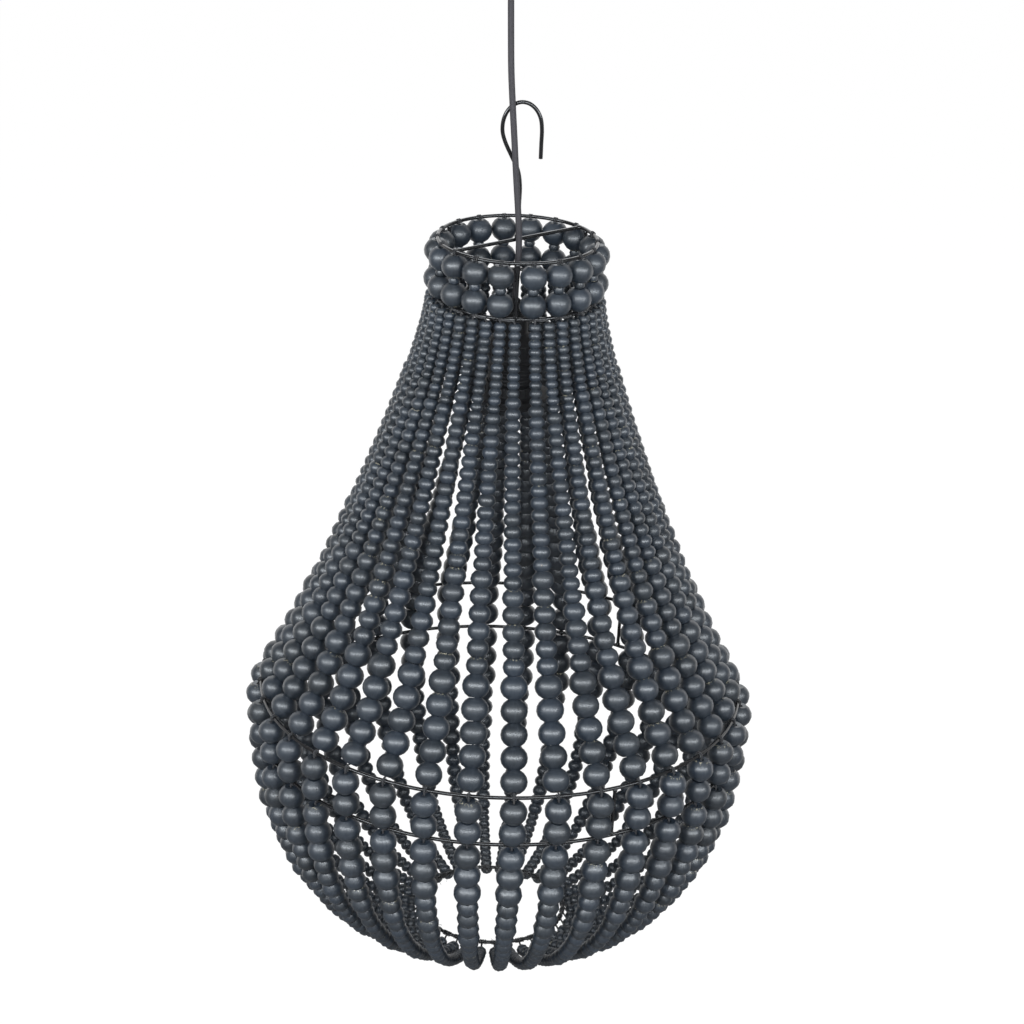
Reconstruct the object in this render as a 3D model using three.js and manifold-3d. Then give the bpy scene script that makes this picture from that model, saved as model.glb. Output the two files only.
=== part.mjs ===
import * as THREE from 'three';
import { mergeVertices } from 'three/addons/utils/BufferGeometryUtils.js';
import Module from 'manifold-3d';

// Beaded chandelier, in millimetres, +Z up. The origin is the point where its wire hook hangs,
// and the Z axis is the middle of the shade. -Y is the front.

const wasm = await Module();
wasm.setup();

// Clearances
const SEAT = 0.3; // left between two pieces that touch
const OVERRUN = 2; // how far a cutting solid runs past what it cuts

// Wire frame
const WIRE = 3; // thickness of the rings, struts and crossbar
const HOOK_RISE = 108; // crossbar up to the point where the hook hangs
const UPPER_DROP = 342; // collar ring down to the upper belly ring
const LOWER_DROP = 173; // lower belly ring down to the bottom ring
const UPPER_BELLY_RADIUS = 199; // upper belly ring, middle of the wire
const LOWER_BELLY_RADIUS = 197; // lower belly ring, middle of the wire
const BOTTOM_RADIUS = 62; // bottom ring, middle of the wire
const COLLAR_STRUT_GAP = 1.1; // collar strut to the bead beside it
const BELLY_STRUT_GAP = 1.2; // belly strut to the bead beside it
const STRUTS = 3; // upright wires in the collar, and in the belly
const CROSSBAR_ANGLE = 38; // degrees, from +X
const COLLAR_STRUT_ANGLE = 271; // degrees, the front strut of the collar
const BELLY_STRUT_STRAND = 2; // the strand beside which the first belly strut stands

// Beads: width across the thread, and length along it
const LARGE_WIDTH = 20;
const LARGE_LENGTH = 18.4;
const MIDDLE_WIDTH = 16;
const MIDDLE_LENGTH = 13.4;
const SMALL_WIDTH = 12;
const TINY_WIDTH = 9;
const TINY_LENGTH = 6.4;
const SPACER_WIDTH = 8; // the little bead between the two large ones of a collar column
const SPACER_LENGTH = 4.6;
const BELLY_SPACER = 1; // what the spacer adds between the two large beads of the belly
const COLUMN_GAP = 1.2; // between two collar columns
const STRAND_GAP = 1.5; // least space between two strands, at the collar ring
const STRAND_LEAD = 1.7; // middle of a column to the first strand of its run, along the collar ring
const THREAD = 2.4; // thickness of the lacing at the belly rings
const KNOT = 5; // thickness of the lacing at the collar ring
const TIE_SPACE = 0.9; // lacing seen between a belly ring and the next bead

// How many beads of a size a strand has beside each ring; the rest is small beads
const COLUMNS = 18; // collar columns, each over two strands
const UPPER_LARGE = 5;
const UPPER_MIDDLE = 5;
const UPPER_TINY = 10;
const LOWER_LARGE = 3;
const LOWER_MIDDLE = 3;
const LOWER_TINY = 12;
const BELLY_ANGLE = 274.3; // degrees, the first strand at the belly

const LAST_BEAD_OUT = 4; // end of a strand's last bead, outwards of the bottom ring
const LAST_BEAD_DROP = 6.5; // and below it

// How a strand bends: its slope from the vertical in degrees, and its handles as shares
const TOP_SLOPE = 0;
const BELLY_SLOPE = 55;
const BOWL_TOP_SLOPE = -5.8;
const BOWL_END_SLOPE = -77.9;
const UPPER_HANDLE_SHARES = [0.132, 0.088];
const LOWER_HANDLE_SHARES = [0.318, 0.476];
const TIE_ANGLE = 136; // degrees, where a strand comes onto the upper belly ring, 0 is outwards
const TIE_PARTS = 2; // straight parts of the lacing that goes over that ring
const TUBE_SHARE = 0.92; // a row of little beads as a plain tube, of the width of its beads
const NECK_SHARE = 0.5; // the waist between two large beads, of their width
const CORNER_SHARE = 1.1; // corners of a strand's section, of its radius
const STRAND_SIDES = 5;

// Hook
const HOOK_WIRE = 3;
const HOOK_HALF_WIDTH = 15.2; // of the bow, middle of the wire
const HOOK_BOW_HEIGHT = 20.5; // top of the bow down to where it is widest, middle of the wire
const HOOK_TURN = 33; // degrees that the bow goes on past its widest place, towards the stem
const HOOK_ARM = 23.5; // straight end of the hook

// Lamp holder
const HOLDER_DEPTH = 48; // top ring down to the top of the strain relief
const RELIEF_LENGTH = 20;
const RELIEF_DOME_RADIUS = 6;
const RELIEF_FLANGE_RADIUS = 7.5;
const RELIEF_FLANGE = 2;
const RELIEF_STEM_RADIUS = 5;
const RELIEF_STEM = 4; // the part that goes into the cap
const CAP_HEIGHT = 33;
const CAP_NECK_RADIUS = 11;
const CAP_NECK_HEIGHT = 13;
const CAP_SHOULDER_HEIGHT = 6;
const CAP_RADIUS = 20.5;
const CAP_WALL = 2.2;
const BODY_RADIUS = 19.5;
const BODY_HEIGHT = 41;
const BODY_COLLAR = 6; // the part of the body that screws into the cap
const BODY_FLOOR = 6;
const SOCKET_RADIUS = 14.6;
const SHELL_WALL = 0.9;
const SHELL_GAP = 1.3; // contact insert down to the screw shell
const SHELL_LIP = 6; // mouth of the body down past the shell
const INSERT_HEIGHT = 3.4;
const CONTACT_RADIUS = 3.5;
const CONTACT_HEIGHT = 2.5;
const SHADE_RING_RADIUS = 30.5;
const SHADE_RING_HUB = 23.5;
const SHADE_RING_HEIGHT = 12;
const SHADE_RING_FLANGE = 2.5;
const SHADE_RING_DROP = 20.2; // lower edge of the cap down to the ring
const RING_CLEARANCE = 0.5;

// Cord and ceiling fitting
const CORD_WIDTH = 5;
const CORD_CLEARANCE = 0.5;
const CUP_RADIUS = 45;
const CUP_HEIGHT = 50;
const CUP_WALL = 1.2;
const CUP_FOOT_RADIUS = 38;
const CUP_SHOULDER = 9;
const GRIP_RADIUS = 6;
const GRIP_HEIGHT = 12;
const SCREW_WIDTH = 3;
const SCREW_HEAD_WIDTH = 6;
const SCREW_HEAD = 4;
const BRACKET_LENGTH = 84;
const BRACKET_WIDTH = 18;
const BRACKET_THICK = 2;
const BRACKET_HOLE = 5;
const BRACKET_HOLE_SPAN = 66;
const CLAMP_WIDTH = 15;
const CLAMP_DEPTH = 12;
const TERMINAL_LENGTH = 24;
const TERMINAL_WIDTH = 15;
const TERMINAL_HEIGHT = 12;
const TERMINAL_GAP = 3; // cord clamp to terminal block

// The cord's route, chosen by hand, from its strain relief up into the ceiling fitting
const CORD_ROUTE = [
  [0, 0, -155.7], [0, 0, -150], [0.2, -0.8, -143], [0.6, -2.4, -133], [1.0, -4.0, -122],
  [1.1, -4.9, -110], [0.4, -5, -96], [-0.9, -5, -80], [-2.4, -5, -64], [-4.0, -5, -46],
  [-5.5, -5, -28], [-7.1, -5, -10], [-8.6, -5, 8], [-9.7, -5, 22], [-10.4, -5, 34], [-14.4, -5, 135.7],
];
const CORD_SIDES = 8;
const CORD_STEPS = 24;

// Places worked out from the sizes above
const radians = THREE.MathUtils.degToRad;
const ringHalf = WIRE / 2 + SEAT; // middle of a wire to what touches it
const beadsRound = COLUMNS * LARGE_WIDTH + (COLUMNS - STRUTS) * COLUMN_GAP
  + STRUTS * (WIRE + 2 * COLLAR_STRUT_GAP);
const strandsRound = COLUMNS * 2 * (TINY_WIDTH + STRAND_GAP);
const topRadius = Math.max(beadsRound, strandsRound) / (2 * Math.PI);
const zTop = -HOOK_RISE;
const columnHeight = 2 * LARGE_LENGTH + SPACER_LENGTH;
const zCollar = zTop - columnHeight - 2 * ringHalf;
const zUpper = zCollar - UPPER_DROP;
const tie = WIRE / 2 + TIE_SPACE;
const bellyBand = 2 * tie + 2 * LARGE_LENGTH + BELLY_SPACER;
const zLower = zUpper - bellyBand;
const zBottom = zLower - LOWER_DROP;
const flatShare = CORNER_SHARE * Math.cos(Math.PI / STRAND_SIDES); // flats of a strand's section
const besideRing = ringHalf + THREAD / 2 * flatShare; // middle of a ring's wire to the thread past it
const upperStrandRadius = UPPER_BELLY_RADIUS + besideRing;
const lowerStrandRadius = LOWER_BELLY_RADIUS + besideRing;
const knotRadius = topRadius + ringHalf + KNOT / 2;
const strandAngle = 2 * Math.PI / (COLUMNS * 2);
const [cordBend, cordEnd] = CORD_ROUTE.slice(-2).map((p) => new THREE.Vector3(...p)); // straight between
const clampHeight = CLAMP_WIDTH;
const zBracket = cordEnd.z + SEAT + clampHeight + SEAT; // underside of the bracket
const zCeiling = zBracket + BRACKET_THICK;

// Materials
function finish(color, roughness, metalness) {
  return new THREE.MeshStandardMaterial({ color, roughness, metalness });
}
const blackWire = finish(0x17181a, 0.35, 0.5);
const beadWood = finish(0x33363b, 0.55, 0);
const cordSheath = finish(0x48464a, 0.6, 0);
const blackPlastic = finish(0x1d1e20, 0.4, 0);
const blackCup = finish(0x1b1c1e, 0.5, 0.3);
const plainSteel = finish(0xa8abad, 0.35, 1);
const brassMetal = finish(0xb9964f, 0.3, 1);
const ceramicWhite = finish(0xe4e0d6, 0.5, 0);

const chandelier = new THREE.Group();

function add(name, geometry, material) {
  const mesh = new THREE.Mesh(geometry, material);
  mesh.name = name;
  chandelier.add(mesh);
  return mesh;
}

// Solids in and out of the boolean library
function toSolid(geometry) {
  const bare = geometry.clone();
  bare.deleteAttribute('normal');
  bare.deleteAttribute('uv');
  const merged = mergeVertices(bare);
  return new wasm.Manifold(new wasm.Mesh({
    numProp: 3,
    vertProperties: new Float32Array(merged.attributes.position.array),
    triVerts: new Uint32Array(merged.index.array),
  }));
}

function fromSolid(solid) {
  const mesh = solid.getMesh();
  const geometry = new THREE.BufferGeometry();
  const numbers = new Float32Array(mesh.vertProperties);
  geometry.setAttribute('position', new THREE.BufferAttribute(numbers, 3));
  geometry.setIndex(new THREE.BufferAttribute(new Uint32Array(mesh.triVerts), 1));
  return geometry;
}

function cut(body, ...tools) {
  return fromSolid(tools.reduce((rest, tool) => rest.subtract(toSolid(tool)), toSolid(body)));
}

function join(body, ...others) {
  return fromSolid(others.reduce((sum, other) => sum.add(toSolid(other)), toSolid(body)));
}

// Basic shapes. A profile is a list of [radius, z].
function lathe(profile, segments) {
  const points = profile.map(([r, z]) => new THREE.Vector2(r, z));
  return new THREE.LatheGeometry(points, segments).rotateX(Math.PI / 2);
}

function upright(radius, zLow, zHigh, sides) {
  const height = zHigh - zLow;
  return new THREE.CylinderGeometry(radius, radius, height, sides).rotateX(Math.PI / 2)
    .translate(0, 0, zLow + height / 2);
}

function block(width, depth, height) {
  return new THREE.BoxGeometry(width, depth, height);
}

function roundBar(curve, width, sides, steps) {
  const section = new THREE.Shape();
  const corners = Array.from({ length: sides }, (_, i) => 2 * Math.PI * i / sides);
  corners.forEach((a, i) => {
    const x = width / 2 * Math.cos(a);
    const y = width / 2 * Math.sin(a);
    if (i === 0) section.moveTo(x, y);
    else section.lineTo(x, y);
  });
  return new THREE.ExtrudeGeometry(section, { steps, extrudePath: curve });
}

function wireRing(radius, z, segments) {
  const wireSides = 6;
  return new THREE.TorusGeometry(radius, WIRE / 2, wireSides, segments).translate(0, 0, z);
}

function around(radius, angle, z) {
  return new THREE.Vector3(radius * Math.cos(angle), radius * Math.sin(angle), z);
}

// Wire rings
const SMALL_RING_STEPS = 30;
const BELLY_RING_STEPS = COLUMNS * 2; // one corner behind each strand
add('top_ring', wireRing(topRadius, zTop, SMALL_RING_STEPS), blackWire);
add('collar_ring', wireRing(topRadius, zCollar, SMALL_RING_STEPS), blackWire);
const bellyRing = (radius, z) => wireRing(radius, z, BELLY_RING_STEPS).rotateZ(radians(BELLY_ANGLE));
add('upper_belly_ring', bellyRing(UPPER_BELLY_RADIUS, zUpper), blackWire);
add('lower_belly_ring', bellyRing(LOWER_BELLY_RADIUS, zLower), blackWire);
add('bottom_ring', wireRing(BOTTOM_RADIUS, zBottom, SMALL_RING_STEPS), blackWire);

// Crossbar, welded to the inside of the top ring
const barHalf = topRadius * Math.cos(Math.PI / SMALL_RING_STEPS) - ringHalf;
const barSides = 8;
const crossbar = new THREE.CylinderGeometry(WIRE / 2, WIRE / 2, 2 * barHalf, barSides)
  .rotateZ(Math.PI / 2).rotateZ(radians(CROSSBAR_ANGLE)).translate(0, 0, zTop);
add('crossbar', crossbar, blackWire);

// Struts between the rings, each from the ring below it to the one above
function strut(name, angle, lowRing, highRing) {
  const foot = around(lowRing.radius, angle, lowRing.z + ringHalf);
  const head = around(highRing.radius, angle, highRing.z - ringHalf);
  const strutSides = 6;
  add(name, roundBar(new THREE.LineCurve3(foot, head), WIRE, strutSides, 1), blackWire);
}

const bellyStrutAngle = radians(BELLY_ANGLE) + BELLY_STRUT_STRAND * strandAngle
  + (LARGE_WIDTH / 2 + BELLY_STRUT_GAP + WIRE / 2) / LOWER_BELLY_RADIUS;
const topRing = { radius: topRadius, z: zTop };
const collarRing = { radius: topRadius, z: zCollar };
const upperBellyRing = { radius: UPPER_BELLY_RADIUS, z: zUpper };
const lowerBellyRing = { radius: LOWER_BELLY_RADIUS, z: zLower };
for (let i = 0; i < STRUTS; i += 1) {
  const turn = 2 * Math.PI * i / STRUTS;
  strut(`collar_strut_${i + 1}`, radians(COLLAR_STRUT_ANGLE) + turn, collarRing, topRing);
  strut(`belly_strut_${i + 1}`, bellyStrutAngle + turn, lowerBellyRing, upperBellyRing);
}

// Hanging hook, welded upright on the crossbar: stem, slant, bow and straight arm
function hookCurve() {
  const middleZ = HOOK_WIRE / 2 - HOOK_BOW_HEIGHT;
  const bowPoint = (a) => new THREE.Vector3(
    HOOK_HALF_WIDTH * Math.cos(a),
    0,
    middleZ + HOOK_BOW_HEIGHT * Math.sin(a),
  );
  const turn = radians(HOOK_TURN);
  const bowStart = bowPoint(Math.PI + turn);
  // Sideways for each millimetre down, where the bow ends
  const slope = HOOK_HALF_WIDTH * Math.sin(turn) / (HOOK_BOW_HEIGHT * Math.cos(turn));
  const stemTop = new THREE.Vector3(0, 0, bowStart.z + bowStart.x / slope);
  const stemFoot = new THREE.Vector3(0, 0, zTop + ringHalf);
  const points = [stemFoot, stemFoot.clone().lerp(stemTop, 0.5), stemFoot.clone().lerp(stemTop, 0.86)];
  points.push(stemTop.clone().lerp(bowStart, 0.16), stemTop.clone().lerp(bowStart, 0.55));
  const bowParts = 9;
  for (let i = 0; i <= bowParts; i += 1) {
    points.push(bowPoint((Math.PI + turn) * (1 - i / bowParts)));
  }
  const armEnd = new THREE.Vector3(HOOK_HALF_WIDTH, 0, middleZ - HOOK_ARM);
  points.push(points[points.length - 1].clone().lerp(armEnd, 0.5), armEnd);
  return new THREE.CatmullRomCurve3(points, false, 'centripetal');
}
const HOOK_STEPS = 36;
const HOOK_SIDES = 6;
add('hanging_hook', roundBar(hookCurve(), HOOK_WIRE, HOOK_SIDES, HOOK_STEPS), blackWire);

// A strand in its own upright plane, as [radius, z]: down the cone, over the belly, under the bowl
function slopeVector(degrees, length) {
  return new THREE.Vector2(Math.sin(radians(degrees)) * length, -Math.cos(radians(degrees)) * length);
}

function bend(start, startSlope, end, endSlope, shares) {
  const reach = start.distanceTo(end);
  return new THREE.CubicBezierCurve(
    start,
    start.clone().add(slopeVector(startSlope, reach * shares[0])),
    end.clone().sub(slopeVector(endSlope, reach * shares[1])),
    end,
  );
}

// The lacing goes over the upper belly ring on an arc, clear of its wire
const tieStart = radians(TIE_ANGLE);
const tieReach = (ringHalf + THREAD / 2 * CORNER_SHARE) / Math.cos(tieStart / TIE_PARTS / 2);
const tieCurve = new THREE.EllipseCurve(UPPER_BELLY_RADIUS, zUpper, tieReach, tieReach, tieStart, 0, true);
const coneCurve = bend(
  new THREE.Vector2(knotRadius, zCollar - ringHalf), TOP_SLOPE,
  tieCurve.getPoint(0), BELLY_SLOPE,
  UPPER_HANDLE_SHARES,
);
const bellyCurve = new THREE.LineCurve(
  new THREE.Vector2(upperStrandRadius, zUpper - tie),
  new THREE.Vector2(lowerStrandRadius, zLower + tie),
);
const bowlEnd = new THREE.Vector2(BOTTOM_RADIUS + LAST_BEAD_OUT, zBottom - LAST_BEAD_DROP);
const bowlCurve = bend(
  new THREE.Vector2(lowerStrandRadius, zLower - tie), BOWL_TOP_SLOPE,
  bowlEnd, BOWL_END_SLOPE,
  LOWER_HANDLE_SHARES,
);
const tailCurve = new THREE.LineCurve(
  bowlEnd,
  new THREE.Vector2(BOTTOM_RADIUS, zBottom - ringHalf - THREAD / 2),
);

// Stations along the strand: which curve, how far along it in millimetres, and the radius there
function strandStations() {
  const list = [];
  const put = (curve, along, radius) => list.push({ curve, along, radius });
  const waist = LARGE_WIDTH / 2 * NECK_SHARE;
  const tinyTube = TINY_WIDTH / 2 * TUBE_SHARE;
  const smallTube = SMALL_WIDTH / 2 * TUBE_SHARE;
  const middleTube = MIDDLE_WIDTH / 2 * TUBE_SHARE;
  const step = THREAD / 2;

  const tinySmall = (tinyTube + smallTube) / 2;
  const smallMiddle = (smallTube + middleTube) / 2;

  const coneLength = coneCurve.getLength();
  const largeTop = coneLength - UPPER_LARGE * LARGE_LENGTH;
  put(coneCurve, 0, tinyTube);
  put(coneCurve, UPPER_TINY * TINY_LENGTH, tinySmall);
  put(coneCurve, largeTop - UPPER_MIDDLE * MIDDLE_LENGTH, smallMiddle);
  put(coneCurve, largeTop - step, middleTube);
  for (let i = 0; i < UPPER_LARGE; i += 1) {
    if (i > 0) put(coneCurve, largeTop + i * LARGE_LENGTH, waist);
    put(coneCurve, largeTop + (i + 0.5) * LARGE_LENGTH, LARGE_WIDTH / 2);
  }
  put(coneCurve, coneLength, THREAD / 2);

  for (let i = 1; i <= TIE_PARTS; i += 1) put(tieCurve, tieCurve.getLength() * i / TIE_PARTS, THREAD / 2);

  const bandEnd = bellyCurve.getLength();
  put(bellyCurve, 0, THREAD / 2);
  put(bellyCurve, LARGE_LENGTH / 2, LARGE_WIDTH / 2);
  put(bellyCurve, bandEnd / 2, waist);
  put(bellyCurve, bandEnd - LARGE_LENGTH / 2, LARGE_WIDTH / 2);
  put(bellyCurve, bandEnd, THREAD / 2);

  const bowlLength = bowlCurve.getLength();
  const largeEnd = LOWER_LARGE * LARGE_LENGTH;
  const tinyTop = bowlLength - LOWER_TINY * TINY_LENGTH;
  put(bowlCurve, 0, THREAD / 2);
  for (let i = 0; i < LOWER_LARGE; i += 1) {
    put(bowlCurve, (i + 0.5) * LARGE_LENGTH, LARGE_WIDTH / 2);
    if (i < LOWER_LARGE - 1) put(bowlCurve, (i + 1) * LARGE_LENGTH, waist);
  }
  put(bowlCurve, largeEnd + step, middleTube);
  put(bowlCurve, largeEnd + LOWER_MIDDLE * MIDDLE_LENGTH, smallMiddle);
  put(bowlCurve, tinyTop, tinySmall);
  put(bowlCurve, (tinyTop + bowlLength) / 2, tinyTube);
  put(bowlCurve, bowlLength, tinyTube);
  put(tailCurve, tailCurve.getLength(), THREAD / 2);
  return list;
}

// One strand as a closed solid, its rows of little beads as plain tubes. It starts under its
// collar column and swings over to its place at the belly, where the strands stand evenly.
function strandGeometry(stations, topAngle, bellyAngle) {
  const corners = [];
  stations.forEach(({ curve, along, radius }) => {
    const share = along / curve.getLength();
    const spot = curve.getPointAt(share);
    const heading = curve.getTangentAt(share);
    const swing = curve === coneCurve ? THREE.MathUtils.smoothstep(share, 0, 1) : 1;
    const angle = topAngle + (bellyAngle - topAngle) * swing;
    const middle = around(spot.x, angle, spot.y);
    const side = new THREE.Vector3(-Math.sin(angle), Math.cos(angle), 0);
    const forward = around(heading.x, angle, heading.y);
    const out = new THREE.Vector3().crossVectors(forward, side);
    for (let i = 0; i < STRAND_SIDES; i += 1) {
      const a = Math.PI / 2 + 2 * Math.PI * i / STRAND_SIDES; // the first corner points outwards
      corners.push(middle.clone()
        .addScaledVector(side, radius * CORNER_SHARE * Math.cos(a))
        .addScaledVector(out, radius * CORNER_SHARE * Math.sin(a)));
    }
  });
  const faces = [];
  for (let k = 0; k < stations.length - 1; k += 1) {
    for (let i = 0; i < STRAND_SIDES; i += 1) {
      const a = k * STRAND_SIDES + i;
      const b = k * STRAND_SIDES + (i + 1) % STRAND_SIDES;
      faces.push(a, b, b + STRAND_SIDES, a, b + STRAND_SIDES, a + STRAND_SIDES);
    }
  }
  const last = (stations.length - 1) * STRAND_SIDES;
  for (let i = 1; i < STRAND_SIDES - 1; i += 1) {
    faces.push(0, i + 1, i);
    faces.push(last, last + i, last + i + 1);
  }
  const geometry = new THREE.BufferGeometry();
  const numbers = corners.flatMap((corner) => corner.toArray());
  geometry.setAttribute('position', new THREE.Float32BufferAttribute(numbers, 3));
  geometry.setIndex(faces);
  return geometry;
}

// Collar column: large bead, spacer, large bead, between the top ring and the collar ring
const BEAD_POLE_SHARE = 0.42;
const BEAD_SHOULDER_SHARE = 0.98;
const BEAD_BARREL_SHARE = 0.4;
function columnGeometry(angle) {
  const radius = LARGE_WIDTH / 2;
  const bead = (zMiddle) => [
    [radius * BEAD_POLE_SHARE, zMiddle - LARGE_LENGTH / 2],
    [radius * BEAD_SHOULDER_SHARE, zMiddle - LARGE_LENGTH / 2 * BEAD_BARREL_SHARE],
    [radius * BEAD_SHOULDER_SHARE, zMiddle + LARGE_LENGTH / 2 * BEAD_BARREL_SHARE],
    [radius * BEAD_POLE_SHARE, zMiddle + LARGE_LENGTH / 2],
  ];
  const zFoot = zCollar + ringHalf;
  const zHead = zTop - ringHalf;
  const profile = [
    [0, zFoot],
    ...bead(zFoot + LARGE_LENGTH / 2),
    [SPACER_WIDTH / 2, zFoot + LARGE_LENGTH + SPACER_LENGTH / 2],
    ...bead(zHead - LARGE_LENGTH / 2),
    [0, zHead],
  ];
  const beadSides = 8;
  const place = around(topRadius, angle, 0);
  return lathe(profile, beadSides).translate(place.x, place.y, 0);
}

// The lacing that carries a run's first strand past the outside of the collar ring
function knotGeometry(angle) {
  const place = around(knotRadius, angle, 0);
  const knotSides = 6;
  return upright(KNOT / 2, zCollar - ringHalf - KNOT, zCollar + ringHalf + KNOT, knotSides)
    .translate(place.x, place.y, 0);
}

// The lacing that goes on along the collar ring to the run's second strand
function linkGeometry(fromAngle, toAngle) {
  const z = zCollar - ringHalf - THREAD;
  const line = new THREE.LineCurve3(around(knotRadius, fromAngle, z), around(knotRadius, toAngle, z));
  const linkSides = 6;
  return roundBar(line, THREAD, linkSides, 1);
}

// Bead runs: a column, its lacing and its two strands
const perStrut = COLUMNS / STRUTS;
const firstColumn = (WIRE / 2 + COLLAR_STRUT_GAP + LARGE_WIDTH / 2) / topRadius;
const columnPitch = (2 * Math.PI / STRUTS - 2 * firstColumn) / (perStrut - 1);
const strandLead = STRAND_LEAD / knotRadius;
const stations = strandStations();
for (let c = 0; c < COLUMNS; c += 1) {
  const sector = Math.floor(c / perStrut);
  const columnAngle = radians(COLLAR_STRUT_ANGLE) + 2 * Math.PI * sector / STRUTS
    + firstColumn + columnPitch * (c % perStrut);
  const firstTop = columnAngle + strandLead;
  const secondTop = firstTop + columnPitch / 2;
  const bellyAngle = radians(BELLY_ANGLE) + (2 * c + 1) * strandAngle;
  const run = join(
    columnGeometry(columnAngle),
    knotGeometry(columnAngle),
    linkGeometry(columnAngle, secondTop),
    strandGeometry(stations, firstTop, bellyAngle),
    strandGeometry(stations, secondTop, bellyAngle + strandAngle),
  );
  add(`bead_run_${String(c + 1).padStart(2, '0')}`, run, beadWood);
}

// Lamp holder, hanging on the cord in the middle of the shade
const HOLDER_SIDES = 20;
const zRelief = zTop - HOLDER_DEPTH;
const zCapTop = zRelief - (RELIEF_LENGTH - RELIEF_STEM) - SEAT;
const zCapFoot = zCapTop - CAP_HEIGHT;
const bodyCollarRadius = CAP_RADIUS - CAP_WALL - SEAT;
const zBodyTop = zCapFoot - SEAT;
const zBodyFoot = zBodyTop - BODY_HEIGHT;
const zFloor = zBodyTop - BODY_FLOOR;
const zInsert = zFloor - SEAT - INSERT_HEIGHT;

// Its domed top turns under the cord's end as the holder swings
function strainRelief() {
  const zFlange = zCapTop + SEAT;
  const zDome = zRelief - RELIEF_DOME_RADIUS;
  const domeParts = 5;
  const dome = Array.from({ length: domeParts + 1 }, (_, i) => {
    const a = Math.PI / 2 * i / domeParts;
    return [RELIEF_DOME_RADIUS * Math.cos(a), zDome + RELIEF_DOME_RADIUS * Math.sin(a)];
  });
  dome[domeParts][0] = 0;
  return lathe([
    [0, zFlange - RELIEF_STEM], [RELIEF_STEM_RADIUS, zFlange - RELIEF_STEM],
    [RELIEF_STEM_RADIUS, zFlange], [RELIEF_FLANGE_RADIUS, zFlange],
    [RELIEF_FLANGE_RADIUS, zFlange + RELIEF_FLANGE], [RELIEF_DOME_RADIUS, zFlange + 2 * RELIEF_FLANGE],
    ...dome,
  ], HOLDER_SIDES);
}

function holderCap() {
  const hole = RELIEF_STEM_RADIUS + SEAT;
  const inner = CAP_RADIUS - CAP_WALL;
  const neckInner = CAP_NECK_RADIUS - CAP_WALL;
  const zNeck = zCapTop - CAP_NECK_HEIGHT;
  const zShoulder = zNeck - CAP_SHOULDER_HEIGHT;
  return lathe([
    [hole, zCapTop], [hole, zCapTop - CAP_WALL], [neckInner, zCapTop - CAP_WALL],
    [neckInner, zNeck - CAP_WALL], [inner, zShoulder - CAP_WALL], [inner, zCapFoot],
    [CAP_RADIUS, zCapFoot], [CAP_RADIUS, zShoulder], [CAP_NECK_RADIUS, zNeck],
    [CAP_NECK_RADIUS, zCapTop], [hole, zCapTop],
  ], HOLDER_SIDES);
}

function holderBody() {
  return lathe([
    [0, zFloor], [SOCKET_RADIUS, zFloor], [SOCKET_RADIUS, zBodyFoot], [BODY_RADIUS, zBodyFoot],
    [BODY_RADIUS, zBodyTop], [bodyCollarRadius, zBodyTop], [bodyCollarRadius, zBodyTop + BODY_COLLAR],
    [0, zBodyTop + BODY_COLLAR],
  ], HOLDER_SIDES);
}

function screwShell() {
  const outer = SOCKET_RADIUS - SEAT;
  const inner = outer - SHELL_WALL;
  const zFoot = zBodyFoot + SHELL_LIP;
  const zHead = zInsert - SHELL_GAP;
  return lathe([
    [inner, zFoot], [outer, zFoot], [outer, zHead], [inner, zHead], [inner, zFoot],
  ], HOLDER_SIDES);
}

function shadeRing() {
  const inner = BODY_RADIUS + RING_CLEARANCE;
  const zHead = zCapFoot - SHADE_RING_DROP;
  const zFoot = zHead - SHADE_RING_HEIGHT;
  const zFlange = zFoot + SHADE_RING_FLANGE;
  return lathe([
    [inner, zFoot], [SHADE_RING_RADIUS, zFoot], [SHADE_RING_RADIUS, zFlange], [SHADE_RING_HUB, zHead],
    [inner, zHead], [inner, zFoot],
  ], HOLDER_SIDES);
}

const zContact = zInsert - SEAT - CONTACT_HEIGHT;
const CONTACT_SIDES = 12;
const insert = upright(SOCKET_RADIUS - SEAT, zInsert, zInsert + INSERT_HEIGHT, HOLDER_SIDES);
const contact = upright(CONTACT_RADIUS, zContact, zContact + CONTACT_HEIGHT, CONTACT_SIDES);
add('strain_relief', strainRelief(), blackPlastic);
add('holder_cap', holderCap(), blackPlastic);
add('holder_body', holderBody(), blackPlastic);
add('contact_insert', insert, ceramicWhite);
add('centre_contact', contact, brassMetal);
add('screw_shell', screwShell(), brassMetal);
add('shade_ring', shadeRing(), blackPlastic);

// Cord
const cordPoints = CORD_ROUTE.map((p) => new THREE.Vector3(...p));
const cordCurve = new THREE.CatmullRomCurve3(cordPoints, false, 'centripetal');
add('cord', roundBar(cordCurve, CORD_WIDTH, CORD_SIDES, CORD_STEPS), cordSheath);

// Ceiling fitting, round the cord's upper end
const CUP_SIDES = 28;
const GRIP_SIDES = 16;
const BORE_SIDES = 12;
const cordHole = CORD_WIDTH / 2 + CORD_CLEARANCE;
const zCupFoot = zCeiling - CUP_HEIGHT;
const zGripTop = zCupFoot - SEAT;
const zGripMiddle = zGripTop - GRIP_HEIGHT / 2;
const cupShare = (zCupFoot - cordBend.z) / (cordEnd.z - cordBend.z);
const cupPlace = cordBend.clone().lerp(cordEnd, cupShare);

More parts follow.
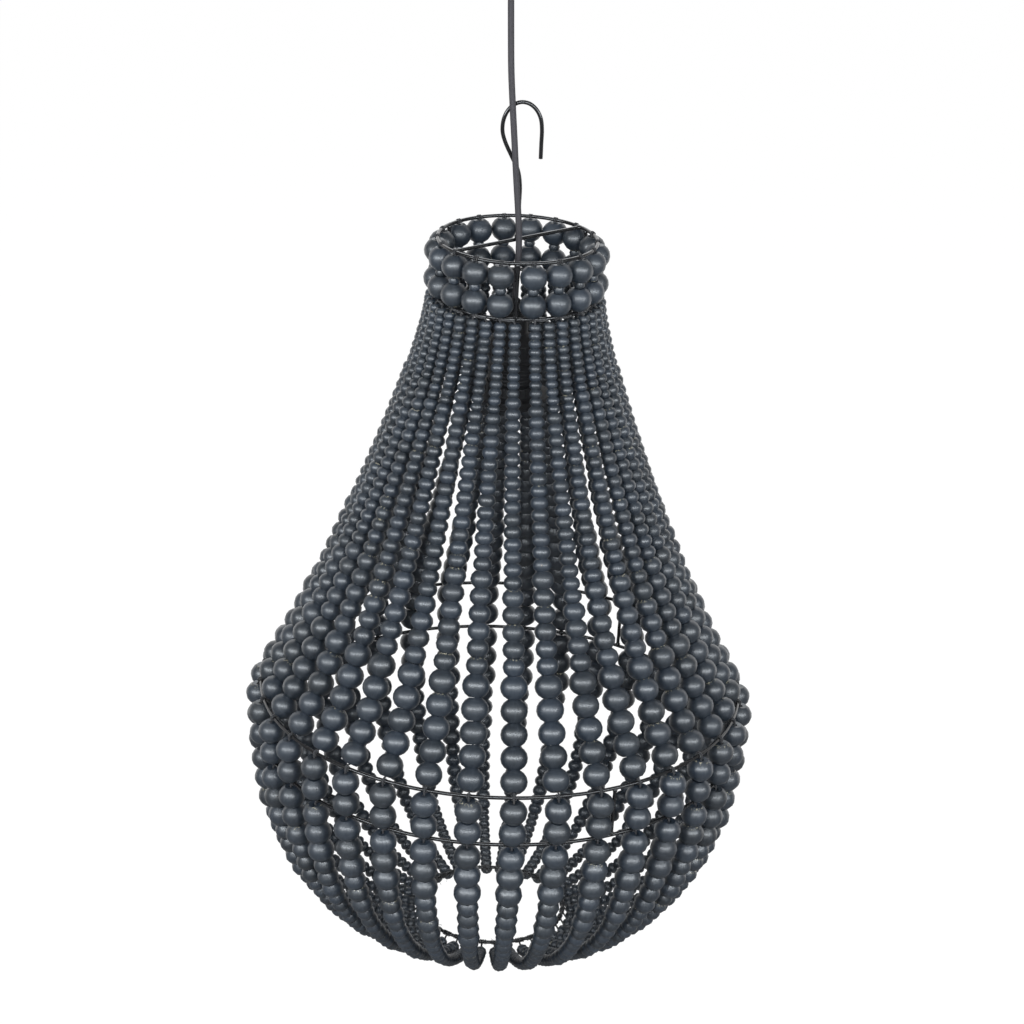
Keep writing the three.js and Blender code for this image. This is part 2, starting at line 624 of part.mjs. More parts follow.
function ceilingCup() {
  const inner = CUP_RADIUS - CUP_WALL;
  const footInner = CUP_FOOT_RADIUS - CUP_WALL;
  return lathe([
    [cordHole, zCupFoot], [CUP_FOOT_RADIUS, zCupFoot], [CUP_RADIUS, zCupFoot + CUP_SHOULDER],
    [CUP_RADIUS, zCeiling], [inner, zCeiling], [inner, zCupFoot + CUP_SHOULDER],
    [footInner, zCupFoot + CUP_WALL], [cordHole, zCupFoot + CUP_WALL], [cordHole, zCupFoot],
  ], CUP_SIDES).translate(cupPlace.x, cupPlace.y, 0);
}

// A round bar along X, at the height of the grip's screw
function crosswise(radius, from, to) {
  return new THREE.CylinderGeometry(radius, radius, to - from, BORE_SIDES)
    .rotateZ(Math.PI / 2).translate((from + to) / 2, 0, zGripMiddle);
}

function cupGrip() {
  const ring = lathe([
    [cordHole, zGripTop - GRIP_HEIGHT], [GRIP_RADIUS, zGripTop - GRIP_HEIGHT],
    [GRIP_RADIUS, zGripTop], [cordHole, zGripTop], [cordHole, zGripTop - GRIP_HEIGHT],
  ], GRIP_SIDES);
  const bore = crosswise(SCREW_WIDTH / 2 + SEAT, 0, GRIP_RADIUS + OVERRUN);
  return cut(ring, bore).translate(cupPlace.x, cupPlace.y, 0);
}

function cupScrew() {
  const headFrom = GRIP_RADIUS + SEAT;
  const shank = crosswise(SCREW_WIDTH / 2, cordHole, headFrom + SCREW_HEAD);
  const head = crosswise(SCREW_HEAD_WIDTH / 2, headFrom, headFrom + SCREW_HEAD);
  return join(shank, head).translate(cupPlace.x, cupPlace.y, 0);
}

function ceilingBracket() {
  const strap = block(BRACKET_LENGTH, BRACKET_WIDTH, BRACKET_THICK);
  const halfCut = BRACKET_THICK + OVERRUN;
  const hole = (side) => upright(BRACKET_HOLE / 2, -halfCut, halfCut, BORE_SIDES)
    .translate(side * BRACKET_HOLE_SPAN / 2, 0, 0);
  return cut(strap, hole(-1), hole(1)).translate(cupPlace.x, cupPlace.y, zBracket + BRACKET_THICK / 2);
}

const clampMiddle = cordEnd.z + SEAT + clampHeight / 2;
const terminalX = cordEnd.x - CLAMP_WIDTH / 2 - TERMINAL_GAP - TERMINAL_LENGTH / 2;
const terminalZ = zBracket - SEAT - TERMINAL_HEIGHT / 2;
const clamp = block(CLAMP_WIDTH, CLAMP_DEPTH, clampHeight).translate(cordEnd.x, cordEnd.y, clampMiddle);
const terminal = block(TERMINAL_LENGTH, TERMINAL_WIDTH, TERMINAL_HEIGHT)
  .translate(terminalX, cordEnd.y, terminalZ);
add('ceiling_bracket', ceilingBracket(), plainSteel);
add('cord_clamp', clamp, blackPlastic);
add('terminal_block', terminal, ceramicWhite);
add('ceiling_cup', ceilingCup(), blackCup);
add('cup_grip', cupGrip(), blackPlastic);
add('cup_screw', cupScrew(), plainSteel);

export default chandelier;
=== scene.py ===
"""Beaded chandelier: rings of black wire strung with painted wooden beads, a lamp holder on its
cord in the middle, and the ceiling fitting. Metres, +Z up, the front at -Y. The origin is the
point where the wire hook hangs."""

import math
import random

import bmesh
import bpy
from mathutils import Matrix, Vector, noise


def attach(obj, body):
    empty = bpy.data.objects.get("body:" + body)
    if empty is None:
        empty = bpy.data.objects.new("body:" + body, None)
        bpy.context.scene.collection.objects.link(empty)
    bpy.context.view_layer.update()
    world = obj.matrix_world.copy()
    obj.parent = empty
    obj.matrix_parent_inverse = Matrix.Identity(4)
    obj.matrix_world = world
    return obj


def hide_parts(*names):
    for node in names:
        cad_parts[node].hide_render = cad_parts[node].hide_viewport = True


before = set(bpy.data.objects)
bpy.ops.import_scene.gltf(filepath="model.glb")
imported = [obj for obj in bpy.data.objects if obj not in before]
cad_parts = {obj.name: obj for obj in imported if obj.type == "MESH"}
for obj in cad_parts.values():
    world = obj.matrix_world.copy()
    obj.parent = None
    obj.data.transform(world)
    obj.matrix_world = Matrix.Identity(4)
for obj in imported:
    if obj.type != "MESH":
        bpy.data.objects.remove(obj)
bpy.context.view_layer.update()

MM = 0.001
TURN = 2 * math.pi

# Wire frame
WIRE = 3 * MM
Z_TOP_RING = -108 * MM
Z_COLLAR_RING = -153 * MM
Z_UPPER_BELLY = -495 * MM
Z_LOWER_BELLY = -537.6 * MM
Z_BOTTOM_RING = -710.6 * MM
TOP_RADIUS = 62.64 * MM
UPPER_BELLY_RADIUS = 199 * MM
LOWER_BELLY_RADIUS = 197 * MM
BOTTOM_RADIUS = 62 * MM
STRUTS = 3
BELLY_STRUT_REACH = 12.7 * MM  # middle of a strand to the strut beside it
CROSSBAR_ANGLE = math.radians(38)
COLLAR_STRUT_ANGLE = math.radians(271)
BELLY_ANGLE = math.radians(274.3)
SEAT = 1.8 * MM  # middle of a wire to the bead end that rests on it
HOOK_FOOT = -106.2 * MM

# Beads: width across the thread, length along it, width of the bore, sides round it, bands along
# it, and how far from its equator the bead is round before its flat ends, in radians. Beads are
# drawn about 2 mm wider than the real ones, because their bright rims are lost in the white room.
BEADS = {
    "tiny": (10.6 * MM, 6.4 * MM, 2.6 * MM, 9, 4, 0.88),
    "small": (14.2 * MM, 9.3 * MM, 2.8 * MM, 10, 4, 0.90),
    "middle": (18.2 * MM, 13.4 * MM, 3.4 * MM, 12, 4, 0.96),
    "large": (22.2 * MM, 18.2 * MM, 4 * MM, 14, 6, 1.08),
    "spacer": (9.6 * MM, 4.6 * MM, 2.4 * MM, 9, 2, 0.62),
    "washer": (7 * MM, 1 * MM, 2.4 * MM, 8, 1, 0.50),
}
KINDS = list(BEADS)
BEAD_SLACK = 0.985  # share of its place that a bead fills along the thread
BEAD_SPREAD = 0.03  # how much narrower a bead can be than its size says
SMALL_SWELL = 0.09  # how much the small beads grow towards the belly, each way from their size

# Counts to draw from for each strand: the small beads fill the rest
CONE_TINY, CONE_MIDDLE, CONE_LARGE = (9, 10, 10, 11), (4, 5, 5, 6), 5
BOWL_TINY, BOWL_MIDDLE, BOWL_LARGE = (11, 12, 12, 13), (3, 3, 4), 3
CONE_SWAY, BOWL_SWAY = 0.014, 0.008  # radians, how far a strand can hang off its line half way
COLLAR_LARGE, COLLAR_SPACER = (0.94, 0.96), 0.99  # widths in the collar, as shares of those above

COLUMNS = 18
COLUMN_START = math.radians(11.525)
COLUMN_PITCH = math.radians(19.39)
STRAND_PITCH = TURN / (2 * COLUMNS)
KNOT_RADIUS = 66.94 * MM
STRAND_LEAD = 1.7 * MM / KNOT_RADIUS  # radians, a column to the first strand of its run
UPPER_STRAND_RADIUS = 201.4 * MM  # the thread past the upper belly ring, and past the lower one
LOWER_STRAND_RADIUS = 199.4 * MM
TIE = 2.4 * MM  # middle of a belly ring to the next bead below or above it
TIE_ANGLE = math.radians(136)  # where a strand comes onto the upper belly ring, 0 is outwards
TIE_REACH = 3.76 * MM
BOWL_END = (66 * MM, -717.1 * MM)

CORD_WIDTH = 5 * MM
CORD_ROUTE = [
    (0, 0, -0.1557), (0, 0, -0.150), (0.0002, -0.0008, -0.143), (0.0006, -0.0024, -0.133),
    (0.0010, -0.0040, -0.122), (0.0011, -0.0049, -0.110), (0.0004, -0.005, -0.096),
    (-0.0009, -0.005, -0.080), (-0.0024, -0.005, -0.064), (-0.0040, -0.005, -0.046),
    (-0.0055, -0.005, -0.028), (-0.0071, -0.005, -0.010), (-0.0086, -0.005, 0.008),
    (-0.0097, -0.005, 0.022), (-0.0104, -0.005, 0.034), (-0.0144, -0.005, 0.1357),
]


def around(radius, angle, z):
    return Vector((radius * math.cos(angle), radius * math.sin(angle), z))


def put(name, data):
    """A new object in the scene."""
    made = bpy.data.objects.new(name, data)
    bpy.context.scene.collection.objects.link(made)
    return made


def emptied(owner):
    """The node tree of a material or a world, with no nodes in it."""
    owner.use_nodes = True
    owner.node_tree.nodes.clear()
    return owner.node_tree


# Node trees


class Value:
    """A node's output. Python's operators on it add Math nodes."""

    def __init__(self, tree, socket):
        self.tree, self.socket = tree, socket

    def other(self, name):
        return Value(self.tree, pick(self.socket.node.outputs, name))

    def math(self, operation, *others):
        return self.tree.add("ShaderNodeMath", {"operation": operation}, dict(enumerate((self, *others))))

    def __add__(self, other):
        return self.math("ADD", other)

    def __sub__(self, other):
        return self.math("SUBTRACT", other)

    def __mul__(self, other):
        return self.math("MULTIPLY", other)

    def __truediv__(self, other):
        return self.math("DIVIDE", other)

    def __rsub__(self, other):
        return self.tree.add("ShaderNodeMath", {"operation": "SUBTRACT"}, {0: other, 1: self})

    def __lt__(self, other):
        return self.math("LESS_THAN", other)

    def __gt__(self, other):
        return self.math("GREATER_THAN", other)

    __radd__ = __add__
    __rmul__ = __mul__


def pick(sockets, key):
    """The socket of that number, or the first one in use of that name."""
    if isinstance(key, int):
        return sockets[key]
    return next(s for s in sockets if s.name == key and s.enabled)


class Tree:
    """Adds nodes to a shader or geometry tree."""

    def __init__(self, nodes):
        self.nodes = nodes

    def add(self, kind, settings=None, values=None, output=0):
        node = self.nodes.nodes.new(kind)
        for name, setting in (settings or {}).items():
            if name == "stops":
                self.set_stops(node.color_ramp.elements, setting)
            else:
                setattr(node, name, setting)
        self.fill(node, values or {})
        return Value(self, pick(node.outputs, output)) if node.outputs else node

    def fill(self, node, values):
        """Sets the node's sockets, or links them where the value is another node's output."""
        for key, value in values.items():
            socket = pick(node.inputs, key)
            if isinstance(value, Value):
                self.nodes.links.new(value.socket, socket)
            else:
                socket.default_value = value

    def combine(self, x, y, z):
        return self.add("ShaderNodeCombineXYZ", None, {0: x, 1: y, 2: z})

    def parts(self, vector, name="X"):
        """One part of a vector. The others are its other outputs."""
        return self.add("ShaderNodeSeparateXYZ", None, {0: vector}, name)

    def vector(self, operation, first, second):
        return self.add("ShaderNodeVectorMath", {"operation": operation}, {0: first, 1: second})

    @staticmethod
    def set_stops(elements, stops):
        while len(elements) < len(stops):
            elements.new(1)
        for element, (place, grey) in zip(elements, stops):
            element.position = place
            element.color = (grey, grey, grey, 1)


class FormTree(Tree):
    """A geometry tree with named inputs."""

    SOCKETS = {float: "NodeSocketFloat", int: "NodeSocketInt", str: "NodeSocketMaterial"}

    def __init__(self, name, inputs, takes_points=False):
        super().__init__(bpy.data.node_groups.new(name, "GeometryNodeTree"))
        face = self.nodes.interface
        face.new_socket(name="Geometry", in_out="OUTPUT", socket_type="NodeSocketGeometry")
        if takes_points:
            face.new_socket(name="Points", in_out="INPUT", socket_type="NodeSocketGeometry")
        for label, value in inputs.items():
            socket = face.new_socket(name=label, in_out="INPUT", socket_type=self.SOCKETS[type(value)])
            if not isinstance(value, str):
                socket.default_value = value
        self.source = self.nodes.nodes.new("NodeGroupInput")

    def input(self, name):
        return Value(self, pick(self.source.outputs, name))

    def group(self, tree, values):
        node = self.nodes.nodes.new("GeometryNodeGroup")
        node.node_tree = tree.nodes
        self.fill(node, values)
        return Value(self, node.outputs[0])

    def end(self, geometry):
        sink = self.nodes.nodes.new("NodeGroupOutput")
        self.nodes.links.new(geometry.socket, sink.inputs[0])
        return self

    def random(self, low, high, seed):
        kind = "FLOAT_VECTOR" if isinstance(low, tuple) else "FLOAT"
        return self.add(
            "FunctionNodeRandomValue", {"data_type": kind}, {"Min": low, "Max": high, "Seed": seed}, "Value")

    def attribute(self, name, kind="FLOAT_VECTOR"):
        return self.add("GeometryNodeInputNamedAttribute", {"data_type": kind}, {"Name": name})

    def aimed(self, way, *angles):
        """The rotation that turns by three angles about its own axes and aims its Z that way."""
        along = self.add("FunctionNodeAlignRotationToVector", {"axis": "Z"}, {"Vector": way})
        if not angles:
            return along
        turn = self.add("FunctionNodeEulerToRotation", None, {0: self.combine(*angles)})
        return self.add("FunctionNodeRotateRotation", {"rotation_space": "LOCAL"}, {0: along, 1: turn})

    def placed(self, points, form, rotation, scale=(1.0, 1.0, 1.0), **more):
        return self.add("GeometryNodeInstanceOnPoints", None, {
            "Points": points, "Instance": form, "Rotation": rotation, "Scale": scale, **more})

    def lifted(self, geometry, z):
        return self.add("GeometryNodeTransform", None, {0: geometry, "Translation": self.combine(0, 0, z)})

    def ring(self, radius, steps):
        return self.add("GeometryNodeCurvePrimitiveCircle", None, {"Radius": radius, "Resolution": steps})

    def coil(self, radius, height, turns, steps):
        return self.add("GeometryNodeCurveSpiral", None, {
            "Resolution": steps, "Rotations": turns, "Start Radius": radius, "End Radius": radius,
            "Height": height})

    def swept(self, curve, thickness, sides, closed=False):
        """A round wire or thread of that thickness along a curve."""
        return self.add("GeometryNodeCurveToMesh", None, {
            "Curve": curve, "Profile Curve": self.ring(thickness / 2, sides), "Fill Caps": not closed})

    def shaded(self, mesh, domain, soft, **where):
        return self.add("GeometryNodeSetShadeSmooth", {"domain": domain}, {
            0: mesh, "Shade Smooth": soft, **where})

    def smooth(self, mesh):
        """Smooth faces, with edges of more than 60 degrees left crisp."""
        angle = self.add("GeometryNodeInputMeshEdgeAngle", None, None, "Unsigned Angle")
        return self.shaded(self.shaded(mesh, "FACE", True), "EDGE", False, Selection=angle > math.radians(60))

    def painted(self, geometry):
        """Ends the tree with its instances made real and its material set."""
        real = self.add("GeometryNodeRealizeInstances", None, {0: geometry})
        return self.end(
            self.add("GeometryNodeSetMaterial", None, {0: real, "Material": self.input("Material")}))


def grown(name, tree, values, mesh=None):
    """The plain mesh that a tree makes with those inputs, from the given points."""
    carrier = put(name, mesh or bpy.data.meshes.new(name))
    modifier = carrier.modifiers.new("form", "NODES")
    modifier.node_group = tree.nodes
    for item in tree.nodes.interface.items_tree:
        if item.item_type == "SOCKET" and item.in_out == "INPUT" and item.name in values:
            modifier[item.identifier] = values[item.name]
    view = bpy.context.evaluated_depsgraph_get()
    made = bpy.data.meshes.new_from_object(carrier.evaluated_get(view), depsgraph=view)
    carrier.modifiers.clear()
    bpy.data.objects.remove(carrier)
    made.name = name
    return made


def points_mesh(name, points, **attributes):
    """Loose points, each with its own whole number or vector of every named attribute."""
    mesh = bpy.data.meshes.new(name)
    mesh.from_pydata(points, [], [])
    for label, values in attributes.items():
        if isinstance(values[0], int):
            mesh.attributes.new(label, "INT", "POINT").data.foreach_set("value", values)
        else:
            numbers = [x for vector in values for x in vector]
            mesh.attributes.new(label, "FLOAT_VECTOR", "POINT").data.foreach_set("vector", numbers)
    return mesh


def lines_mesh(name, lines):
    """Open lines of points as edges, for a tree that turns them into curves."""
    mesh = bpy.data.meshes.new(name)
    points, edges = [], []
    for line in lines:
        edges += [(len(points) + i, len(points) + i + 1) for i in range(len(line) - 1)]
        points += line
    mesh.from_pydata(points, edges, [])
    return mesh


# Plain forms


class Shell:
    """Closed forms made row by row, with a UV for each corner."""

    def __init__(self):
        self.points, self.faces, self.uvs = [], [], []

    def rows(self, rows, heights=None, looped=False):
        """Skins rows of points of the same count. The end rows are capped, unless looped."""
        start, count = len(self.points), len(rows[0])
        heights = heights or [i / (len(rows) - 1) for i in range(len(rows))]
        for row in rows:
            self.points += [tuple(p) for p in row]
        for j in range(len(rows) - (0 if looped else 1)):
            low, high = start + j * count, start + (j + 1) % len(rows) * count
            v_low, v_high = heights[j], heights[(j + 1) % len(rows)]
            for i in range(count):
                k = (i + 1) % count
                self.faces.append((low + i, low + k, high + k, high + i))
                self.uvs.append([(i / count, v_low), ((i + 1) / count, v_low),
                                 ((i + 1) / count, v_high), (i / count, v_high)])
        if not looped:
            last = start + (len(rows) - 1) * count
            self.faces.append(tuple(range(start + count - 1, start - 1, -1)))
            self.faces.append(tuple(range(last, last + count)))
            self.uvs += [[(0.5, heights[0])] * count, [(0.5, heights[-1])] * count]
        return self

    def turned(self, profile, sides, centre=(0, 0)):
        """A profile of (radius, z) turned about an upright line. It is closed or ends on the line."""
        looped = profile[0] == profile[-1]
        profile = profile[:-1] if looped else profile
        middle, angles = Vector((*centre, 0)), [TURN * i / sides for i in range(sides)]
        return self.rows([[middle + around(r, a, z) for a in angles] for r, z in profile], looped=looped)

    def tube(self, line, radius, sides):
        """A round bar along a line of points. The radius is one number or one for each point."""
        line = [Vector(p) for p in line]
        radii = radius if isinstance(radius, list) else [radius] * len(line)
        headings = []
        for i in range(len(line)):
            headings.append((line[min(i + 1, len(line) - 1)] - line[max(i - 1, 0)]).normalized())
        side = headings[0].orthogonal().normalized()
        rows, heights, walked = [], [], 0.0
        for i, (p, heading) in enumerate(zip(line, headings)):
            side = (side - heading * side.dot(heading)).normalized()
            across = heading.cross(side)
            walked += (p - line[i - 1]).length if i else 0
            heights.append(walked)
            rows.append([
                p + radii[i] * (side * math.cos(TURN * k / sides) + across * math.sin(TURN * k / sides))
                for k in range(sides)])
        return self.rows(rows, heights)

    def lump(self, centre, radius, seed, flat):
        """A small uneven ball, as a drop of weld."""
        bands, sides = 7, 10
        rows = []
        for j in range(1, bands):
            tilt = math.pi * j / bands - math.pi / 2
            row = []
            for i in range(sides):
                way = around(math.cos(tilt), TURN * i / sides, math.sin(tilt))
                swell = 1 + 0.22 * noise.noise(way * 1.7 + Vector((seed * 3.1, seed, 0)))
                row.append(Vector(centre) + Vector((way.x, way.y, way.z * flat)) * radius * swell)
            rows.append(row)
        return self.rows(rows)

    def block(self, centre, size):
        """A plain block, to be rounded with a bevel. Its corners are shared."""
        half = Vector(size) / 2
        rows = []
        for z in (-half.z, half.z):
            corners = [(-half.x, -half.y), (half.x, -half.y), (half.x, half.y), (-half.x, half.y)]
            rows.append([Vector(centre) + Vector((x, y, z)) for x, y in corners])
        return self.rows(rows)

    def mesh(self, name, crisp=40, bevel=0.0):
        """The finished mesh: doubles merged, faces outwards, edges over the crisp angle sharp."""
        mesh = bpy.data.meshes.new(name)
        mesh.from_pydata(self.points, [], self.faces)
        layer = mesh.uv_layers.new(name="UVMap")
        layer.data.foreach_set("uv", [x for face in self.uvs for uv in face for x in uv])
        bm = bmesh.new()
        bm.from_mesh(mesh)
        bmesh.ops.remove_doubles(bm, verts=bm.verts, dist=0.002 * MM)
        bmesh.ops.recalc_face_normals(bm, faces=bm.faces)
        if bevel:
            sharp = [e for e in bm.edges if e.is_manifold and e.calc_face_angle() > math.radians(35)]
            bmesh.ops.bevel(bm, geom=sharp, offset=bevel, segments=2, profile=0.5, affect="EDGES",
                            clamp_overlap=True)
        bm.to_mesh(mesh)
        bm.free()
        mesh.shade_smooth()
        mesh.set_sharp_from_angle(angle=math.radians(crisp))
        return mesh


def piece(name, mesh, finish, body="shade", nodes=()):
    """Puts a mesh in its finish on its CAD body, in place of the named CAD nodes."""
    slot, material = finish
    made = put(name, mesh)
    if not mesh.materials:
        mesh.materials.append(material)
    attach(made, body)
    if nodes:
        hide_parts(*nodes)
    return made


def grown_piece(name, tree, values, finish, body="shade", nodes=(), mesh=None):
    """A piece that a tree makes with those inputs, from the given points."""
    return piece(name, grown(name, tree, {**values, "Material": finish[1]}, mesh), finish, body, nodes)


def turned_piece(name, profile, sides, finish, body, nodes, crisp=40, centre=(0, 0)):
    """A piece turned from a profile in millimetres."""
    shell = Shell().turned([(r * MM, z * MM) for r, z in profile], sides, centre)
    return piece(name, shell.mesh(name, crisp), finish, body, nodes)


def catmull_rom(points, steps):
    """A smooth line through the points, with its speed eased at close points (centripetal)."""
    points = [Vector(p) for p in points]
    ends = [2 * points[0] - points[1], *points, 2 * points[-1] - points[-2]]
    line = []
    for p0, p1, p2, p3 in zip(ends, ends[1:], ends[2:], ends[3:]):
        d0, d1, d2 = (math.sqrt((b - a).length) for a, b in ((p0, p1), (p1, p2), (p2, p3)))
        t1 = ((p1 - p0) / d0 - (p2 - p0) / (d0 + d1) + (p2 - p1) / d1) * d1
        t2 = ((p2 - p1) / d1 - (p3 - p1) / (d1 + d2) + (p3 - p2) / d2) * d1
        for i in range(steps):
            t = i / steps
            c2, c3 = -3 * p1 + 3 * p2 - 2 * t1 - t2, 2 * p1 - 2 * p2 + t1 + t2
            line.append(p1 + t1 * t + c2 * t * t + c3 * t * t * t)
    return line + [points[-1]]


# Camera, floor and light

CAMERA_PLACE = (0.00434, -2.040, 0.5291)
CAMERA_TILT = math.radians(66.923)
CAMERA_ROLL = 0.04129

lens = bpy.data.cameras.new("camera")
lens.lens = 95.6
lens.sensor_width = 36
lens.clip_start = 0.05
camera = put("camera", lens)
camera.matrix_world = (
    Matrix.Translation(CAMERA_PLACE)
    @ Matrix.Rotation(CAMERA_TILT, 4, "X")
    @ Matrix.Rotation(CAMERA_ROLL, 4, "Z"))
bpy.context.scene.camera = camera
bpy.context.scene.view_settings.view_transform = "Standard"


def seen_directly(tree):
    """1 for a ray from the camera, from gloss or through glass, and otherwise 0."""
    path = tree.add("ShaderNodeLightPath", None, None, "Is Camera Ray")
    seen = path.math("MAXIMUM", path.other("Is Glossy Ray"))
    return seen.math("MAXIMUM", path.other("Is Transmission Ray"))


def white_room(tree, span, near, far, gloss_level, soft_level):
    """White to the camera and through glass. Gloss sees white behind the object, where the backdrop
    is, and a dimmer room in front. It turns white from near to far, as depths along Y within span."""
    lo, hi = (0.5 + depth / span for depth in (near, far))
    path = tree.add("ShaderNodeLightPath", None, None, "Is Camera Ray")
    gloss = path.other("Is Glossy Ray")
    seen = path.math("MAXIMUM", path.other("Is Transmission Ray"))
    place = tree.add("ShaderNodeTexCoord", None, None, "Object")
    depth = tree.parts(place, "Y")
    behind = tree.add("ShaderNodeValToRGB", {"stops": ((lo, 0), (hi, 1))}, {"Fac": depth / span + 0.5})
    mirrored = gloss_level + (1 - gloss_level) * behind
    return seen + (1 - seen) * (gloss * mirrored + (1 - gloss) * soft_level)


def make_surroundings():
    world = bpy.data.worlds.new("white_room")
    bpy.context.scene.world = world
    tree = Tree(emptied(world))
    bright = white_room(tree, 2, 0.30, 0.75, 0.14, 0.20)
    back = tree.add("ShaderNodeBackground", None, {"Color": (1, 1, 1, 1), "Strength": bright})
    tree.add("ShaderNodeOutputWorld", None, {"Surface": back})

    mesh = bpy.data.meshes.new("floor")
    half, drop = 14, -1.35
    mesh.from_pydata([(-half, -half, drop), (half, -half, drop), (half, half, drop), (-half, half, drop)],
                     [], [(0, 1, 2, 3)])
    floor = put("floor", mesh)
    white = bpy.data.materials.new("white_floor")
    tree = Tree(emptied(white))
    matte = tree.add("ShaderNodeBsdfDiffuse", None, {"Color": (0.8, 0.8, 0.8, 1)})
    bright = white_room(tree, 8, 0.5, 1.6, 0.16, 1) * 1.09
    glow = tree.add("ShaderNodeEmission", None, {"Color": (1, 1, 1, 1), "Strength": bright})
    mixed = tree.add("ShaderNodeMixShader", None, {0: 0.9 * seen_directly(tree), 1: matte, 2: glow})
    tree.add("ShaderNodeOutputMaterial", None, {"Surface": mixed})
    mesh.materials.append(white)

    # Softboxes round the shade: bearing and height in degrees, width and height in metres, watts.
    # The three at the front make one long streak of light on each bead.
    middle, reach = Vector((0, 0, -0.42)), 2.6
    for name, bearing, rise, wide, high, power in (
            ("left_softbox", -141, 19, 1.5, 0.6, 30), ("right_softbox", -39, 19, 1.5, 0.6, 24),
            ("front_softbox", -90, 27, 3.2, 0.6, 60), ("back_softbox", 90, 45, 1.2, 1.2, 10)):
        lamp = bpy.data.lights.new(name, "AREA")
        lamp.shape = "RECTANGLE"
        lamp.energy, lamp.size, lamp.size_y = power, wide, high
        lamp.color = 0.90, 0.955, 1
        tilt = math.radians(rise)
        place = middle + reach * around(math.cos(tilt), math.radians(bearing), math.sin(tilt))
        facing = (place - middle).to_track_quat("Z", "Y").to_matrix().to_4x4()
        put(name, lamp).matrix_world = Matrix.Translation(place) @ facing


make_surroundings()


# Finishes


class Finish(Tree):
    """A material's tree, with the coordinates and patterns that the finishes share."""

    def __init__(self, name):
        self.material = bpy.data.materials.new(name)
        super().__init__(emptied(self.material))
        self.here = self.place("Object")

    def place(self, kind):
        return self.add("ShaderNodeTexCoord", None, None, kind)

    def noise(self, size, detail=2, roughness=0.5, place=None):
        """Cloudy pattern with patches of about that size in metres."""
        return self.add("ShaderNodeTexNoise", None, {
            "Vector": place or self.here, "Scale": 1 / size, "Detail": detail, "Roughness": roughness}, "Fac")

    def ramp(self, value, *stops):
        return self.add("ShaderNodeValToRGB", {"stops": stops}, {"Fac": value})

    def spots(self, low, high, *pattern):
        """0 where the cloudy pattern is under the low mark, and 1 where it is over the high one."""
        return self.ramp(self.noise(*pattern), (low, 0), (high, 1))

    def mix(self, factor, first, second):
        """Blends two colours, each of them a node's output or plain red, green and blue."""
        first, second = (c if isinstance(c, Value) else (*c, 1) for c in (first, second))
        return self.add("ShaderNodeMix", {"data_type": "RGBA"}, {0: factor, 6: first, 7: second}, 2)

    def scaled(self, place, by):
        return self.vector("MULTIPLY", place, by)

    def surface(self, colour, roughness, height, depth, metallic=0.0, coat=0.0, **plain):
        """Ends the material. Height is a pattern from 0 to 1, raised by depth in metres."""
        bump = self.add("ShaderNodeBump", None, {"Height": height, "Distance": depth, "Strength": 1.0})
        values = {"Base Color": colour, "Roughness": roughness, "Metallic": metallic, "Coat Weight": coat,
                  "Normal": bump}
        values.update({label.replace("_", " "): value for label, value in plain.items()})
        shader = self.add("ShaderNodeBsdfPrincipled", None, values)
        self.add("ShaderNodeOutputMaterial", None, {"Surface": shader})
        return self.material


def bead_paint():
    """Charcoal stain over turned wood: each bead a little lighter or darker, with grain and chips."""
    f = Finish("bead_paint")
    mark = f.add("ShaderNodeAttribute", {"attribute_name": "bead_mark"}, None, "Vector")
    own, uv = f.parts(mark), f.parts(f.place("UV"))
    f.here = f.vector("ADD", f.here, f.scaled(mark, (3, 3, 3)))
    around_bead = uv * TURN
    turned = own.other("Z") > 0.4
    lengthwise = 2.6 - 2.2 * turned
    ring = f.combine(around_bead.math("COSINE") * lengthwise, around_bead.math("SINE") * lengthwise,
                     uv.other("Y") * (0.9 + 5.6 * turned) + own * 40)
    grain = f.noise(0.28, 4, 0.62, ring)
    blotch = f.noise(7 * MM, 3, 0.55)
    speck = f.noise(1.1 * MM, 2, 0.6)
    tone = own.other("Y") * 0.55 + blotch * 0.35 + grain * 0.25
    stain = f.mix(f.ramp(tone, (0.25, 0), (0.85, 1)), (0.002, 0.007, 0.013), (0.011, 0.021, 0.036))
    streak = f.ramp(grain, (0.50, 0), (0.68, 1))
    stain = f.mix(streak * 0.40, stain, (0.040, 0.051, 0.066))
    pore = f.ramp(speck, (0.66, 0), (0.74, 1))
    stain = f.mix(pore * 0.35, stain, (0.014, 0.016, 0.021))
    chip = f.spots(0.735, 0.755, 4.2 * MM, 3, 0.7) * (own.other("Z") > 0.55)
    stain = f.mix(chip * 0.8, stain, (0.27, 0.21, 0.155))
    flaking = f.ramp(uv.other("Y"), (0.02, 1), (0.10, 0)) * (own > 0.87)
    flake = f.spots(0.56, 0.62, 1.6 * MM, 2, 0.6) * flaking
    stain = f.mix(flake, stain, (0.42, 0.38, 0.27))
    rough = 0.40 + 0.12 * blotch + 0.08 * own.other("Z") + 0.2 * chip
    height = grain * 0.5 + speck * 0.35 - chip * 0.6
    return f.surface(stain, rough, height, 0.08 * MM, coat=0.4, Coat_Roughness=0.22,
                     Specular_IOR_Level=0.95, IOR=1.6)


def coating(name, tones, patch, spots, spotted, uneven, depth, rough, **plain):
    """Paint or glaze: two tones in patches, spots of a third, and an uneven surface. Rough is the
    least roughness, then what a patch adds to it and what a spot adds."""
    f = Finish(name)
    cloud, spot = f.noise(patch * MM, 3), f.spots(*spots)
    colour = f.mix(spot * spotted, f.mix(cloud, tones[0], tones[1]), tones[2])
    roughness = rough[0] + rough[1] * cloud + rough[2] * spot
    return f.surface(colour, roughness, f.noise(uneven * MM), depth * MM, **plain)


